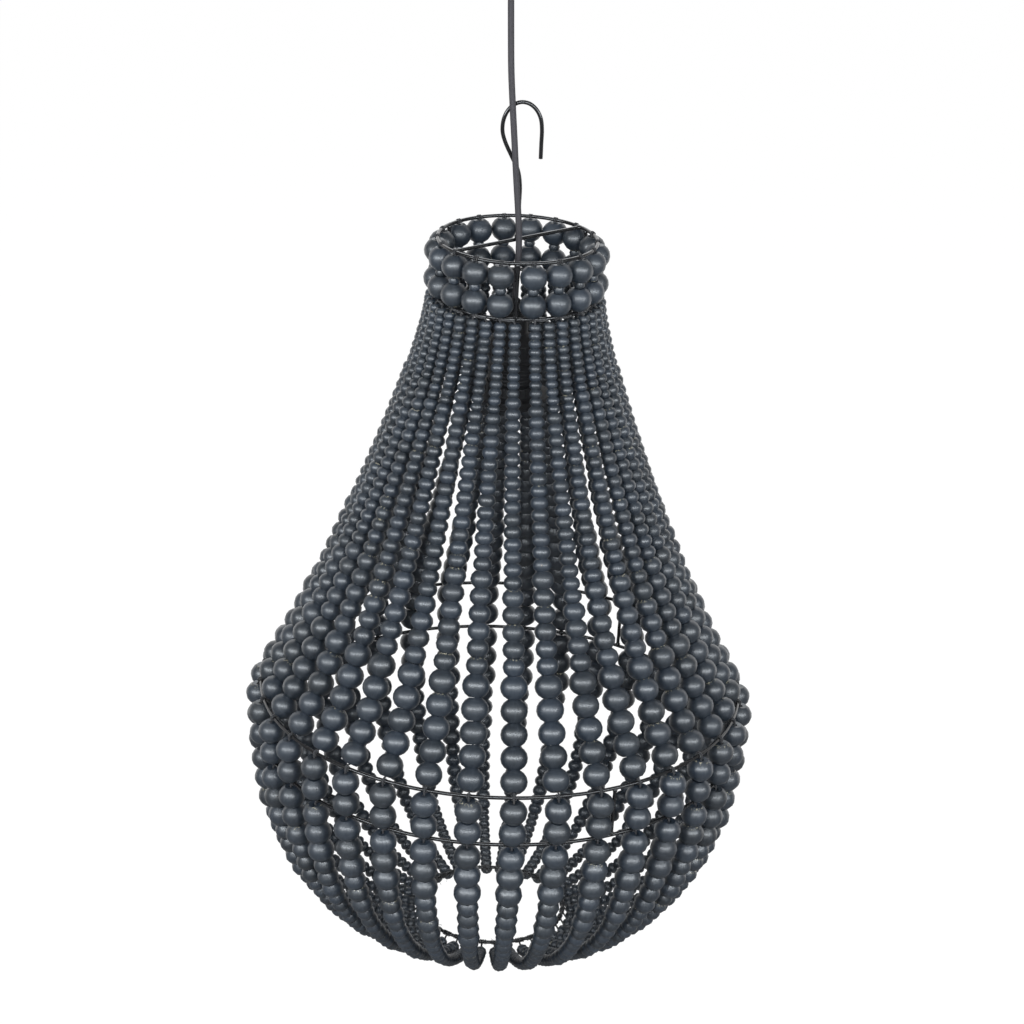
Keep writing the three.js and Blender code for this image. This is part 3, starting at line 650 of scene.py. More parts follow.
def lacing_thread():
    f = Finish("lacing_thread")
    fibre = f.noise(0.5 * MM, 3, 0.6, f.scaled(f.here, (1, 1, 0.35)))
    colour = f.mix(fibre, (0.012, 0.012, 0.014), (0.050, 0.049, 0.052))
    colour = f.mix(f.spots(0.60, 0.72, 9 * MM) * 0.5, colour, (0.085, 0.075, 0.066))
    return f.surface(colour, 0.75 + 0.15 * fibre, fibre, 0.18 * MM, Sheen_Weight=0.25)


def cord_sheath():
    """Fine lengthwise ribs of a rubber sheath, with a slight twist."""
    f = Finish("cord_sheath")
    uv = f.parts(f.place("UV"))
    twist = uv * (TURN * 9) + uv.other("Y") * 22
    rib = twist.math("SINE") * 0.5 + 0.5
    cloud, speck = f.noise(11 * MM, 3), f.noise(0.7 * MM)
    # The ribs' crests are painted lighter and their grooves darker: painted light and shade along the ribs,
    # on top of the sheath's own cloudy tone.
    colour = f.mix(cloud * 0.6 + rib * 0.3, (0.036, 0.033, 0.037), (0.074, 0.068, 0.075))
    colour = f.mix(speck * 0.25, colour, (0.03, 0.028, 0.03))
    return f.surface(colour, 0.62 + 0.18 * cloud, rib * 0.75 + speck * 0.25, 0.07 * MM)


def plastic(name, dark, light, rough):
    """Moulded plastic with a fine spark-eroded grain."""
    f = Finish(name)
    cloud = f.noise(12 * MM, 3)
    scuff = f.spots(0.60, 0.68, 9 * MM, 5, 0.7, f.scaled(f.here, (1, 1, 6)))
    colour = f.mix(cloud * 0.7 + scuff * 0.3, dark, light)
    return f.surface(colour, rough + 0.12 * cloud + 0.12 * scuff, f.noise(0.55 * MM, 2, 0.6), 0.05 * MM)


def metal(name, dark, light, rough, brushed):
    """Bare metal with brushed lines and a little tarnish."""
    f = Finish(name)
    lines = f.noise(0.8 * MM, 3, 0.6, f.scaled(f.here, brushed))
    tarnish = f.noise(6 * MM, 4, 0.6)
    colour = f.mix(tarnish * 0.8 + lines * 0.2, light, dark)
    return f.surface(colour, rough + 0.15 * lines + 0.15 * tarnish, lines, 0.02 * MM, metallic=1.0)


# Each finish is a colour slot with the material for it
BEAD_WOOD = "bead_wood", bead_paint()
BLACK_WIRE = "black_wire", coating(
    "wire_paint", ((0.004, 0.004, 0.005), (0.010, 0.010, 0.011), (0.05, 0.046, 0.042)), patch=14,
    spots=(0.66, 0.72, 3 * MM, 4, 0.7), spotted=0.25, uneven=1.6, depth=0.04, rough=(0.20, 0.14, 0.2),
    coat=0.7, Coat_Roughness=0.08)
LACING = "lacing_thread", lacing_thread()
CORD_SHEATH = "cord_sheath", cord_sheath()
BLACK_PLASTIC = "black_plastic", plastic(
    "black_plastic", (0.010, 0.010, 0.011), (0.026, 0.026, 0.028), 0.36)
WHITE_PLASTIC = "white_ceramic", plastic("white_plastic", (0.62, 0.60, 0.54), (0.78, 0.76, 0.71), 0.40)
CUP_PAINT = "cup_paint", coating(
    "cup_paint", ((0.009, 0.009, 0.010), (0.018, 0.018, 0.020), (0.10, 0.10, 0.10)), patch=18,
    spots=(0.64, 0.72, 2.2 * MM, 4, 0.7), spotted=0.25, uneven=1.3, depth=0.06, rough=(0.42, 0.16, 0.15))
STEEL = "plain_steel", metal("plain_steel", (0.30, 0.30, 0.31), (0.60, 0.60, 0.61), 0.26, (0.2, 1, 1))
BRASS = "contact_brass", metal("contact_brass", (0.42, 0.27, 0.09), (0.80, 0.60, 0.28), 0.20, (1, 1, 4))
CERAMIC = "white_ceramic", coating(
    "glazed_ceramic", ((0.70, 0.68, 0.62), (0.80, 0.78, 0.73), (0.42, 0.38, 0.30)), patch=9,
    spots=(0.70, 0.76, 0.8 * MM, 2, 0.6), spotted=0.5, uneven=3.5, depth=0.08, rough=(0.28, 0.2, 0))


# Cord

cord_line = catmull_rom(CORD_ROUTE, 8)
cord_length = sum((b - a).length for a, b in zip(cord_line, cord_line[1:]))
cord = piece("cord", Shell().tube(cord_line, CORD_WIDTH / 2, 20).mesh("cord"), CORD_SHEATH, nodes=["cord"])


# Wire frame


def wire_ring_tree():
    """A ring of round wire, bent a little out of true by hand."""
    t = FormTree("wire_ring", {
        "Radius": 0.1, "Height": 0.0, "Thickness": WIRE, "Waviness": 0.2 * MM, "Steps": 160, "Sides": 12,
        "Material": ""})
    circle = t.ring(t.input("Radius"), t.input("Steps"))
    here = t.add("GeometryNodeInputPosition")
    cloud = t.add("ShaderNodeTexNoise", None, {"Vector": here, "Scale": 22.0, "Detail": 1.0}, "Color")
    middle = t.vector("SUBTRACT", cloud, (0.5, 0.5, 0.5))
    shift = t.add("ShaderNodeVectorMath", {"operation": "SCALE"}, {0: middle, "Scale": t.input("Waviness")})
    lift = t.vector("ADD", shift, t.combine(0, 0, t.input("Height")))
    bent = t.add("GeometryNodeSetPosition", None, {0: circle, "Offset": lift})
    return t.painted(t.smooth(t.swept(bent, t.input("Thickness"), t.input("Sides"), closed=True)))


def make_rings():
    tree = wire_ring_tree()
    for name, radius, z, steps in (
            ("top_ring", TOP_RADIUS, Z_TOP_RING, 96), ("collar_ring", TOP_RADIUS, Z_COLLAR_RING, 96),
            ("upper_belly_ring", UPPER_BELLY_RADIUS, Z_UPPER_BELLY, 240),
            ("lower_belly_ring", LOWER_BELLY_RADIUS, Z_LOWER_BELLY, 240),
            ("bottom_ring", BOTTOM_RADIUS, Z_BOTTOM_RING, 96)):
        grown_piece(f"{name}_wire", tree, {
            "Radius": radius, "Height": z, "Thickness": WIRE, "Waviness": 0.7 * MM, "Steps": steps,
            "Sides": 12}, BLACK_WIRE, nodes=[name])


def make_struts():
    """Upright wires with a drop of weld at each end."""
    belly_strut = BELLY_ANGLE + 2 * STRAND_PITCH + BELLY_STRUT_REACH / LOWER_BELLY_RADIUS
    collar = (TOP_RADIUS, Z_COLLAR_RING), (TOP_RADIUS, Z_TOP_RING)
    belly = (LOWER_BELLY_RADIUS, Z_LOWER_BELLY), (UPPER_BELLY_RADIUS, Z_UPPER_BELLY)
    for i in range(STRUTS):
        for kind, first, (low, high) in (
                ("collar", COLLAR_STRUT_ANGLE, collar), ("belly", belly_strut, belly)):
            angle = first + TURN * i / STRUTS
            foot, head = around(low[0], angle, low[1]), around(high[0], angle, high[1])
            bow = around(0.25 * MM, angle, 0)
            line = [foot.lerp(head, j / 8) + bow * math.sin(3 * j + i) for j in range(9)]
            shell = Shell().tube(line, WIRE / 2, 12)
            weld, inwards = 2.1 * MM, 1.6 * MM
            for end, way in ((foot, inwards), (head, -inwards)):
                shell.lump(end + Vector((0, 0, way)), weld, i + end.z * 100, 0.9)
            name = f"{kind}_strut_{i + 1}"
            piece(f"{name}_wire", shell.mesh(name), BLACK_WIRE, nodes=[name])


def make_crossbar():
    reach = TOP_RADIUS - 0.6 * MM
    steps = 14
    line = [around((2 * j / steps - 1) * reach, CROSSBAR_ANGLE, Z_TOP_RING) for j in range(steps + 1)]
    shell = Shell().tube(line, WIRE / 2, 12)
    for share, size in ((-1, 2.7), (1, 2.5)):
        shell.lump(around(share * (reach - 1.2 * MM), CROSSBAR_ANGLE, Z_TOP_RING), size * MM, 5 + share, 0.75)
    piece("crossbar_wire", shell.mesh("crossbar"), BLACK_WIRE, nodes=["crossbar"])


def make_hook():
    """Stem, slant, tall round bow and straight arm, bent from one wire."""
    half_width, height, turn, arm = 15.2 * MM, 20.5 * MM, math.radians(33), 23.5 * MM
    bow_middle = WIRE / 2 - height

    def bow(angle):
        return Vector((half_width * math.cos(angle), 0, bow_middle + height * math.sin(angle)))

    start = bow(math.pi + turn)
    slope = half_width * math.sin(turn) / (height * math.cos(turn))
    foot = Vector((0, 0, HOOK_FOOT - 0.5 * MM))
    stem_top = Vector((0, 0, start.z + start.x / slope))
    # The stem and the slant, with a soft bend between them, then the bow and the arm
    points = [foot, foot.lerp(stem_top, 0.5), foot.lerp(stem_top, 0.86)]
    points += [stem_top.lerp(start, 0.16), stem_top.lerp(start, 0.55)]
    points += [bow((math.pi + turn) * (1 - i / 9)) for i in range(10)]
    arm_end = Vector((half_width, 0, bow_middle - arm))
    points += [points[-1].lerp(arm_end, 0.5), arm_end]
    line = catmull_rom(points, 5)
    # The cut end of the arm has a small chamfer
    radii = [WIRE / 2 + 0.15 * MM] * len(line)
    tip = (line[-1] - line[-2]).normalized()
    line += [line[-1] + tip * 0.3 * MM]
    radii += [WIRE / 2 * 0.78]
    shell = Shell().tube(line, radii, 14)
    shell.lump((0, 0, HOOK_FOOT + 0.6 * MM), 2.6 * MM, 3.3, 0.8)
    piece("hook_wire", shell.mesh("hook", crisp=50), BLACK_WIRE, nodes=["hanging_hook"])


make_rings()
make_struts()
make_crossbar()
make_hook()


# Beads


def bead_shape_tree():
    """A ball turned about Z, a little squat, cut flat at both ends and drilled. After the ball's
    bands come the upper end, the bore and the lower end."""
    t = FormTree("bead_shape", {
        "Width": 0.02, "Length": 0.018, "Bore": 0.003, "Dish": 0.4 * MM, "Sides": 12, "Bands": 5,
        "Round": 1.1})
    width, length, bore = t.input("Width"), t.input("Length"), t.input("Bore")
    sides, bands = t.input("Sides"), t.input("Bands")
    grid = t.add("GeometryNodeMeshGrid", None,
                 {"Size X": 1.0, "Size Y": 1.0, "Vertices X": sides + 1, "Vertices Y": bands + 4})
    uv = grid.other("UV Map")
    kept = t.add("GeometryNodeStoreNamedAttribute", {"data_type": "FLOAT2", "domain": "CORNER"},
                 {0: grid, "Name": "UVMap", "Value": uv})
    here = t.add("GeometryNodeInputPosition")
    across = t.parts(here)
    turn = (across + 0.5) * TURN
    row = (across.other("Y") + 0.5) * (bands + 3)
    share = row / bands * (row < bands + 0.5)
    tilt = (share * 2 - 1) * t.input("Round")
    upper = (row > bands + 0.5) * (row < bands + 1.5)
    lower = (row > bands + 1.5) * (row < bands + 2.5)
    drilled = upper + lower
    reach = tilt.math("COSINE") * width * 0.5 * (1 - drilled) + bore * 0.5 * drilled
    half_height = length * 0.5 / t.input("Round").math("SINE")
    ball_rise = tilt.math("SINE") * half_height * (1 - drilled)
    rise = ball_rise + (length * 0.5 - t.input("Dish")) * (upper - lower)
    spot = t.combine(reach * turn.math("COSINE"), reach * turn.math("SINE"), rise)
    shaped = t.add("GeometryNodeSetPosition", None, {0: kept, "Position": spot})
    whole = t.add("GeometryNodeMergeByDistance", None, {0: shaped, "Distance": width * 0.001})
    there = t.parts(t.add("GeometryNodeInputPosition"), "Z")
    rim = there.math("ABSOLUTE") > length * 0.4975
    return t.end(t.shaded(t.smooth(whole), "EDGE", False, Selection=rim))


def bead_rows_tree():
    """Threads each kind of bead on the points of that kind, turned and tilted a little at random."""
    t = FormTree("bead_rows", {"Tilt": 0.05, "Seed": 1, "Material": ""}, takes_points=True)
    shape = bead_shape_tree()
    points, seed = t.input("Points"), t.input("Seed")
    kind, axis, scale = t.attribute("bead_kind", "INT"), t.attribute("bead_axis"), t.attribute("bead_scale")
    lean = t.random(-1.0, 1.0, seed) * t.input("Tilt")
    lean_too = t.random(-1.0, 1.0, seed + 7) * t.input("Tilt")
    spin = t.random(0.0, TURN, seed + 13)
    rotation = t.aimed(axis, lean, lean_too, spin)
    strung = []
    for number, (width, length, bore, sides, bands, roundness) in enumerate(BEADS.values()):
        bead = t.group(shape, {"Width": width, "Length": length, "Bore": bore, "Sides": sides,
                               "Bands": bands, "Round": roundness})
        mine = t.add("FunctionNodeCompare", {"data_type": "INT", "operation": "EQUAL"},
                     {"A": kind, "B": number})
        strung.append(t.placed(points, bead, rotation, scale, Selection=mine))
    together = t.nodes.nodes.new("GeometryNodeJoinGeometry")
    for instances in strung:
        t.nodes.links.new(instances.socket, together.inputs[0])
    mark = t.random((0.0, 0.0, 0.0), (1.0, 1.0, 1.0), seed + 29)
    marked = t.add("GeometryNodeStoreNamedAttribute", {"data_type": "FLOAT_VECTOR", "domain": "INSTANCE"},
                   {0: Value(t, together.outputs[0]), "Name": "bead_mark", "Value": mark})
    return t.painted(marked)


class Line:
    """A line of points, read by how far along it one is."""

    def __init__(self, points):
        self.points, self.walked = points, [0.0]
        for a, b in zip(points, points[1:]):
            self.walked.append(self.walked[-1] + (b - a).length)
        self.length = self.walked[-1]

    def at(self, distance):
        i = 1
        while i < len(self.walked) - 1 and self.walked[i] < distance:
            i += 1
        a, b = self.points[i - 1], self.points[i]
        share = (distance - self.walked[i - 1]) / (self.walked[i] - self.walked[i - 1])
        return a.lerp(b, share), (b - a).normalized()


def bend(start, start_slope, end, end_slope, shares):
    """A strand's curve in its upright plane as (radius, z), from its slopes at both ends in degrees."""
    start, end = Vector(start), Vector(end)
    reach = (end - start).length

    def handle(degrees, share):
        a = math.radians(degrees)
        return Vector((math.sin(a), -math.cos(a))) * reach * share

    one, two = start + handle(start_slope, shares[0]), end - handle(end_slope, shares[1])
    line, steps = [], 90
    for i in range(steps + 1):
        t = i / steps
        s = 1 - t
        line.append(s ** 3 * start + 3 * s * s * t * one + 3 * s * t * t * two + t ** 3 * end)
    return line


def over_upper_ring(angle, reach=TIE_REACH):
    """A point of the arc over the upper belly ring as (radius, z). Angle 0 is outwards."""
    return UPPER_BELLY_RADIUS + reach * math.cos(angle), Z_UPPER_BELLY + reach * math.sin(angle)


# The strands' lines down to the upper belly ring, past both rings, and in to the bottom ring
CONE = bend((KNOT_RADIUS, Z_COLLAR_RING - SEAT), 0, over_upper_ring(TIE_ANGLE), 55, (0.132, 0.088))
BELLY_BAND = [Vector((UPPER_STRAND_RADIUS, Z_UPPER_BELLY - TIE)),
              Vector((LOWER_STRAND_RADIUS, Z_LOWER_BELLY + TIE))]
BOWL = bend((LOWER_STRAND_RADIUS, Z_LOWER_BELLY - TIE), -5.8, BOWL_END, -77.9, (0.318, 0.476))


def swung(plane_line, top_angle, belly_angle, sway=0.0):
    """A curve in space, swinging from the angle at its top to its place at the belly. Sway, in
    radians, is how far a hand-threaded strand hangs off that line half way."""
    flat = Line(plane_line)
    points = []
    for spot, walked in zip(flat.points, flat.walked):
        share = walked / flat.length
        swing = share * share * (3 - 2 * share)
        angle = top_angle + (belly_angle - top_angle) * swing + sway * math.sin(math.pi * share)
        points.append(around(spot.x, angle, spot.y))
    return Line(points)


class Strand:
    """One strand's line and the beads on it."""

    def __init__(self, column, top_angle, belly_angle, chance):
        self.cone = swung(CONE, top_angle, belly_angle, chance.uniform(-CONE_SWAY, CONE_SWAY))
        self.belly = swung(BELLY_BAND, belly_angle, belly_angle)
        self.bowl = swung(BOWL, belly_angle, belly_angle, chance.uniform(-BOWL_SWAY, BOWL_SWAY))
        self.column, self.top_angle, self.belly_angle = column, top_angle, belly_angle
        self.beads = []
        tiny, middle = chance.choice(CONE_TINY), chance.choice(CONE_MIDDLE)
        self.thread_on(self.cone, [("tiny", tiny)], [("middle", middle), ("large", CONE_LARGE)], chance)
        self.thread_belly(chance)
        tiny, middle = chance.choice(BOWL_TINY), chance.choice(BOWL_MIDDLE)
        self.thread_on(self.bowl, [("large", BOWL_LARGE), ("middle", middle)], [("tiny", tiny)], chance)

    def thread_on(self, line, first, last, chance):
        """Fills the line: the first beads, small beads to fit that grow towards the large ones, then
        the last beads."""
        taken = sum(BEADS[kind][1] * count for kind, count in first + last)
        small = round((line.length - taken) / BEADS["small"][1])
        fit = (line.length - taken) / small
        swell = SMALL_SWELL if first[0][0] == "tiny" else -SMALL_SWELL
        growth = [1 + swell * (2 * (i + 0.5) / small - 1) for i in range(small)]
        row = [(k, BEADS[k][1], 1) for k, n in first for _ in range(n)]
        row += [("small", fit * share, share) for share in growth]
        row += [(k, BEADS[k][1], 1) for k, n in last for _ in range(n)]
        walked = 0.0
        for kind, length, share in row:
            spot, axis = line.at(walked + length / 2)
            self.put(kind, spot, axis, length, chance, share)
            walked += length

    def put(self, kind, spot, axis, length, chance, share=1):
        room = math.hypot(spot.x, spot.y) * COLUMN_PITCH / 2
        width_share = min(share, room / BEADS[kind][0]) * (1 - BEAD_SPREAD * chance.random())
        length_share = length / BEADS[kind][1] * BEAD_SLACK
        self.beads.append((KINDS.index(kind), spot, axis, (width_share, width_share, length_share)))

    def thread_belly(self, chance):
        walked = 0.0
        for kind in ("large", "washer", "large"):
            length = BEADS[kind][1]
            spot, axis = self.belly.at(walked + length / 2)
            self.put(kind, spot, axis, length, chance)
            walked += length

    def thread(self):
        """The thread's line, from the bore of the collar column to the bottom ring."""
        # Out of the collar column's bore and along the ring to the strand's own place
        past = TOP_RADIUS + 2.6 * MM
        line = [around(TOP_RADIUS, self.column, Z_COLLAR_RING + 6 * MM)]
        line.append(around(TOP_RADIUS + 1.2 * MM, self.column, Z_COLLAR_RING + 2.6 * MM))
        parts = max(1, round((self.top_angle - self.column) * past / (3 * MM)))
        for i in range(parts):
            angle = self.column + (self.top_angle - self.column) * (i + 0.5) / parts
            line.append(around(past, angle, Z_COLLAR_RING + 0.3 * MM * math.sin(2.3 * i)))
        # Down through the beads and over the upper belly ring
        line += self.cone.points[::3]
        for angle in (100, 60, 20):
            radius, z = over_upper_ring(math.radians(angle), 2.7 * MM)
            line.append(around(radius, self.belly_angle, z))
        # Close past the lower belly ring, down again and under the bottom ring
        line += self.belly.points
        line.append(around(LOWER_STRAND_RADIUS - 0.6 * MM, self.belly_angle, Z_LOWER_BELLY))
        line += self.bowl.points[::3]
        line.append(around(BOTTOM_RADIUS + 1.5 * MM, self.belly_angle, Z_BOTTOM_RING - 2.6 * MM))
        line.append(around(BOTTOM_RADIUS - 1.2 * MM, self.belly_angle, Z_BOTTOM_RING - 1.6 * MM))
        return line


def column_angle(c):
    sector, place = divmod(c, COLUMNS // STRUTS)
    return COLLAR_STRUT_ANGLE + TURN * sector / STRUTS + COLUMN_START + COLUMN_PITCH * place


def make_beads():
    tree = bead_rows_tree()
    chance = random.Random(41)
    strands = []
    for c in range(COLUMNS):
        column = column_angle(c)
        top = column + STRAND_LEAD
        belly = BELLY_ANGLE + (2 * c + 1) * STRAND_PITCH
        pair = [Strand(column, top, belly, chance),
                Strand(column, top + COLUMN_PITCH / 2, belly + STRAND_PITCH, chance)]
        beads = [bead for strand in pair for bead in strand.beads]
        spacer = BEADS["spacer"][1]
        large = (Z_TOP_RING - Z_COLLAR_RING - 2 * SEAT - spacer) / 2
        z = Z_COLLAR_RING + SEAT
        for kind, length in (("large", large), ("spacer", spacer), ("large", large)):
            spot = around(TOP_RADIUS, column, z + length / 2)
            wide = chance.uniform(*COLLAR_LARGE) if kind == "large" else COLLAR_SPACER
            beads.append((KINDS.index(kind), spot, Vector((0, 0, 1)), (wide, wide, BEAD_SLACK)))
            z += length
        kinds, spots, axes, scales = (list(values) for values in zip(*beads))
        mesh = points_mesh("bead_places", spots, bead_kind=kinds, bead_axis=axes, bead_scale=scales)
        number = f"{c + 1:02d}"
        grown_piece(f"beads_{number}", tree, {"Tilt": 0.045, "Seed": 50 * c}, BEAD_WOOD,
                    nodes=[f"bead_run_{number}"], mesh=mesh)
        strands += pair
    return strands


strands = make_beads()


# Lacing


def threads_tree():
    t = FormTree("strand_threads", {"Thickness": 1.5 * MM, "Sides": 5, "Material": ""}, takes_points=True)
    curve = t.add("GeometryNodeMeshToCurve", None, {0: t.input("Points")})
    return t.painted(t.smooth(t.swept(curve, t.input("Thickness"), t.input("Sides"))))


def wraps_tree():
    """Turns of thread round a wire, at each point and along its axis."""
    t = FormTree("ring_wraps", {
        "Wire": WIRE, "Thread": 1.1 * MM, "Turns": 3.0, "Spread": 4 * MM, "Seed": 1, "Material": ""},
        takes_points=True)
    thread, spread = t.input("Thread"), t.input("Spread")
    reach = (t.input("Wire") + thread) * 0.5
    wrap = t.swept(t.lifted(t.coil(reach, spread, t.input("Turns"), 10), spread * -0.5), thread, 5)
    rotation = t.aimed(t.attribute("wrap_axis"), 0, 0, t.random(0.0, TURN, t.input("Seed")))
    stretch = t.random(0.75, 1.25, t.input("Seed") + 3)
    return t.painted(t.smooth(t.placed(t.input("Points"), wrap, rotation, t.combine(1, 1, stretch))))


def frays_tree():
    """Short loose ends of thread that stand off at random."""
    t = FormTree("thread_ends", {
        "Length": 9 * MM, "Thickness": 0.35 * MM, "Seed": 1, "Material": ""}, takes_points=True)
    length, seed = t.input("Length"), t.input("Seed")
    hair = t.add("GeometryNodeCurveQuadraticBezier", None, {
        "Resolution": 5, "Start": (0.0, 0.0, 0.0), "Middle": t.combine(0, length * 0.35, length * 0.5),
        "End": t.combine(0, 0, length)})
    strand = t.swept(hair, t.input("Thickness"), 3)
    way = t.random((-1.0, -1.0, -1.2), (1.0, 1.0, 0.5), seed)
    size = t.random(0.4, 1.2, seed + 5)
    return t.painted(t.smooth(t.placed(t.input("Points"), strand, t.aimed(way), size)))


def ring_points(name, radius, z, angles):
    spots = [around(radius, a, z) for a in angles]
    axes = [Vector((-math.sin(a), math.cos(a), 0)) for a in angles]
    return points_mesh(name, spots, wrap_axis=axes)


def make_lacing(strands):
    grown_piece("strand_threads", threads_tree(), {"Thickness": 1.6 * MM, "Sides": 6}, LACING,
                mesh=lines_mesh("thread_lines", [s.thread() for s in strands]))
    columns = [column_angle(c) for c in range(COLUMNS)]
    bellies = [s.belly_angle for s in strands]
    wraps = wraps_tree()
    for number, (name, radius, z, angles, turns, spread) in enumerate((
            ("top_ring", TOP_RADIUS, Z_TOP_RING, columns, 3.0, 3.6),
            ("collar_ring", TOP_RADIUS, Z_COLLAR_RING, columns, 3.0, 4.5),
            ("upper_belly", UPPER_BELLY_RADIUS, Z_UPPER_BELLY, bellies, 3.0, 3.6),
            ("lower_belly", LOWER_BELLY_RADIUS, Z_LOWER_BELLY, bellies, 3.0, 3.6),
            ("bottom_ring", BOTTOM_RADIUS, Z_BOTTOM_RING, bellies, 5.0, 7.0))):
        grown_piece(f"{name}_lacing", wraps, {
            "Wire": WIRE, "Thread": 0.75 * MM, "Turns": turns, "Spread": spread * MM, "Seed": 90 + number},
            LACING, mesh=ring_points("wrap_places", radius, z, angles))
    chance = random.Random(7)
    spots = [around(BOTTOM_RADIUS + chance.uniform(-1.5, 2) * MM, chance.uniform(0, TURN),
                    Z_BOTTOM_RING + chance.uniform(-1.5, 1.5) * MM) for _ in range(70)]
    grown_piece("bottom_thread_ends", frays_tree(), {"Length": 8 * MM, "Thickness": 0.35 * MM, "Seed": 4},
                LACING, mesh=points_mesh("fray_places", spots))


make_lacing(strands)


# Lamp holder

HOLDER_SIDES = 64


def rounded(profile, corners=0.6, steps=3):
    """Rounds the corners of a profile in millimetres, except at its ends."""
    made = [profile[0]]
    for before, here, after in zip(profile, profile[1:], profile[2:]):
        p, a, b = Vector(here), Vector(before) - Vector(here), Vector(after) - Vector(here)
        if min(a.length, b.length) < 0.05:
            made.append(here)
            continue
        cut = min(corners, 0.45 * a.length, 0.45 * b.length)
        one, two = p + a.normalized() * cut, p + b.normalized() * cut
        for i in range(steps + 1):
            t = i / steps
            spot = one * (1 - t) ** 2 + p * 2 * t * (1 - t) + two * t * t
            made.append((spot.x, spot.y))
    return made + [profile[-1]]


def helix_tree():
    """A raised thread, as on a moulded or turned screw: turns of a bar round an upright cylinder."""
    t = FormTree("screw_thread", {
        "Radius": 0.02, "Top": 0.0, "Length": 0.01, "Turns": 4.0, "Thickness": 1 * MM, "Material": ""})
    coil = t.coil(t.input("Radius"), t.input("Length"), t.input("Turns"), 40)
    placed = t.lifted(coil, t.input("Top") - t.input("Length"))
    return t.painted(t.smooth(t.swept(placed, t.input("Thickness"), 6)))


def ribs_tree():
    """Finger ribs round an upright cylinder."""
    t = FormTree("finger_ribs", {
        "Radius": 0.02, "Middle": 0.0, "Height": 8 * MM, "Thickness": 1.6 * MM, "Count": 24, "Material": ""})
    circle = t.ring(t.input("Radius"), t.input("Count"))
    places = t.add("GeometryNodeCurveToPoints", {"mode": "EVALUATED"}, {0: circle})
    rib = t.add("GeometryNodeMeshCylinder", {"fill_type": "NGON"}, {
        "Vertices": 8, "Radius": t.input("Thickness") / 2, "Depth": t.input("Height")})
    here = t.parts(t.add("GeometryNodeInputPosition"))
    bearing = here.other("Y").math("ARCTAN2", here)
    turn = t.add("FunctionNodeEulerToRotation", None, {0: t.combine(0, 0, bearing)})
    return t.painted(t.smooth(t.lifted(t.placed(places, rib, turn), t.input("Middle"))))


def make_holder():
    ribs, helix = ribs_tree(), helix_tree()
    # Strain relief: domed top round the cord, three soft rings, flange and stem
    dome = [(6 * math.cos(a), -162 + 6 * math.sin(a)) for a in (0.35 + 1.22 * i / 9 for i in range(9))]
    relief = [(0, -176), (5, -176), (5, -172), (7.5, -172), (7.5, -170.2), (6.9, -169.6), (5.6, -169.2),
              (5.5, -168.4), (6.3, -167.8), (6.3, -166.6), (5.5, -166), (5.5, -165.2), (6.2, -164.6),
              (6.2, -163.4), (5.9, -162.6), *dome, (2.4, -156.25), (0, -156)]
    turned_piece("strain_relief_boot", relief, 40, BLACK_PLASTIC, "holder", ["strain_relief"])
    cap = rounded([
        (5.3, -172.3), (5.3, -174.5), (8.8, -174.5), (8.8, -187.5), (18.3, -193.5), (18.3, -205.3),
        (20.5, -205.3), (20.5, -203.4), (20.1, -203.0), (20.1, -191.6), (19.4, -190.9), (11.6, -185.6),
        (11, -184.6), (11, -173.2), (10.2, -172.3), (5.3, -172.3)], 0.7)
    turned_piece("holder_cap_shell", cap, HOLDER_SIDES, BLACK_PLASTIC, "holder", ["holder_cap"], 50)
    grown_piece("holder_cap_ribs", ribs, {
        "Radius": 19.95 * MM, "Middle": -197.2 * MM, "Height": 10.4 * MM, "Thickness": 1.1 * MM,
        "Count": 40}, BLACK_PLASTIC, "holder")
    body = rounded([
        (0, -211.6), (14.6, -211.6), (14.6, -246.6), (19.5, -246.6), (19.5, -244.6), (18.6, -243.8),
        (18.6, -207.2), (19.5, -206.8), (19.5, -205.6), (18, -205.6), (18, -199.6), (0, -199.6)], 0.5)
    turned_piece("holder_body_shell", body, HOLDER_SIDES, BLACK_PLASTIC, "holder", ["holder_body"], 50)
    grown_piece("holder_body_thread", helix, {
        "Radius": 18.65 * MM, "Top": -209.4 * MM, "Length": 33 * MM, "Turns": 11.0,
        "Thickness": 1.5 * MM}, BLACK_PLASTIC, "holder")
    insert = rounded([(0, -215.3), (14, -215.3), (14.3, -215), (14.3, -211.9), (0, -211.9)], 0.3)
    turned_piece("contact_insert_disc", insert, 48, CERAMIC, "holder", ["contact_insert"])
    contact = [(0, -218.1), (1.6, -218.0), (2.8, -217.4), (3.5, -216.6), (3.5, -216.2), (2.6, -215.6),
               (0, -215.6)]
    turned_piece("centre_contact_button", contact, 32, BRASS, "holder", ["centre_contact"])
    # Screw shell: thin brass rolled into a round thread
    waves, steps = 5, 60
    outer = [(14.0 + 0.28 * math.cos(TURN * waves * i / steps), -240.6 + 24 * i / steps)
             for i in range(steps + 1)]
    inner = [(r - 0.45, z) for r, z in reversed(outer)]
    turned_piece("screw_shell_brass", outer + inner + outer[:1], 48, BRASS, "holder", ["screw_shell"])
    ring = rounded([
        (20, -237.5), (30.5, -237.5), (30.5, -235.2), (25.8, -234.5), (23.1, -233.0), (22.6, -226.1),
        (22.1, -225.5), (20, -225.5), (20, -237.5)], 0.5)
    turned_piece("shade_ring_disc", ring, HOLDER_SIDES, BLACK_PLASTIC, "ring_nut", ["shade_ring"], 50)
    grown_piece("shade_ring_ribs", ribs, {
        "Radius": 22.75 * MM, "Middle": -229.8 * MM, "Height": 7.0 * MM, "Thickness": 1.3 * MM,
        "Count": 30}, BLACK_PLASTIC, "ring_nut")


make_holder()


# Ceiling fitting

CUP = (-13.13 * MM, -5 * MM)


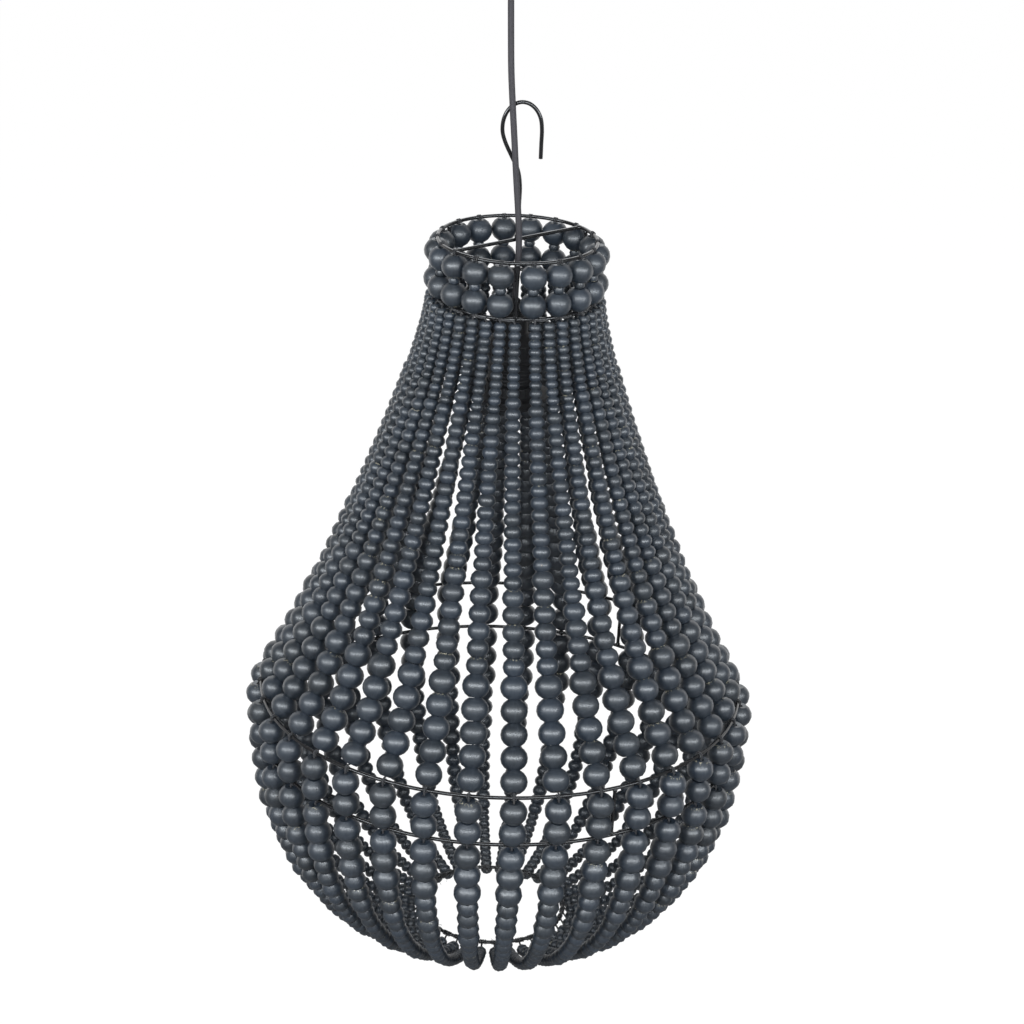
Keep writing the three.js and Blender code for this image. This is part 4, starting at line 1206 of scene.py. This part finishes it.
def make_cup():
    cup = rounded([
        (3, 103.3), (34, 103.3), (38, 104.4), (43.4, 109.2), (45, 113.2), (45, 151.6), (45, 153.3),
        (43.8, 153.3), (43.8, 113.4), (42.3, 109.9), (37.4, 105.5), (34, 104.5), (3, 104.5), (3, 103.3)], 0.8)
    cup_piece = turned_piece("ceiling_cup_shell", cup, 96, CUP_PAINT, "cup", ["ceiling_cup"], 50, CUP)
    grip = rounded([
        (3.5, 91), (4.9, 91), (6, 92.2), (6, 101.8), (5.6, 103), (3.1, 103), (3.1, 94), (3.5, 91)], 0.5)
    grip_piece = turned_piece("cup_grip_collar", grip, 48, BLACK_PLASTIC, "cup", ["cup_grip"], centre=CUP)
    x, z = CUP[0], 97 * MM
    shell = Shell().tube([(x + 3 * MM, CUP[1], z), (x + 6.4 * MM, CUP[1], z)], 1.45 * MM, 20)
    base = Vector((x + 6.3 * MM, CUP[1], z))
    rows = []
    # The head: share of its radius and millimetres out, with a slot across its face
    for share, out in ((1, 0), (1, 2.6), (0.9, 3.4), (0.7, 3.75), (0.68, 3.75)):
        row = []
        for i in range(32):
            a = TURN * i / 32
            y, up = 3 * MM * share * math.cos(a), 3 * MM * share * math.sin(a)
            slot = out > 2.7 and abs(up) < 0.5 * MM
            row.append(base + Vector(((out - (0.9 if slot else 0)) * MM, y, up)))
        rows.append(row)
    shell.rows(rows)
    screw_piece = piece("cup_screw_head", shell.mesh("screw", crisp=35), STEEL, "screw", ["cup_screw"])
    return [cup_piece, grip_piece, screw_piece]


def make_fitting():
    x, y = -14.4 * MM, -5 * MM
    clamp = Shell().block((x, y, 140.2 * MM), (15 * MM, 12 * MM, 8.4 * MM))
    clamp.block((x, y, 147.8 * MM), (15 * MM, 12 * MM, 6.2 * MM))
    for side in (-1, 1):
        clamp.tube([(x + side * 5.2 * MM, y, 137 * MM), (x + side * 5.2 * MM, y, 150.5 * MM)], 1.4 * MM, 16)
    clamp_piece = piece("cord_clamp_jaws", clamp.mesh("clamp", bevel=0.6 * MM), BLACK_PLASTIC,
                        nodes=["cord_clamp"])
    bx = -36.9 * MM
    block = Shell().block((bx, y, 143.6 * MM), (24 * MM, 15 * MM, 9.2 * MM))
    for i in (-1, 0, 1):
        block.tube([(bx + i * 7.4 * MM, y, 146 * MM), (bx + i * 7.4 * MM, y, 151 * MM)], 2.9 * MM, 20)
    block_piece = piece("terminal_block_body", block.mesh("terminal", bevel=0.5 * MM), WHITE_PLASTIC,
                        nodes=["terminal_block"])
    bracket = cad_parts["ceiling_bracket"]
    bracket.data.materials.clear()
    bracket.data.materials.append(STEEL[1])
    return [clamp_piece, block_piece, bracket]


on_cord = make_cup() + make_fitting()
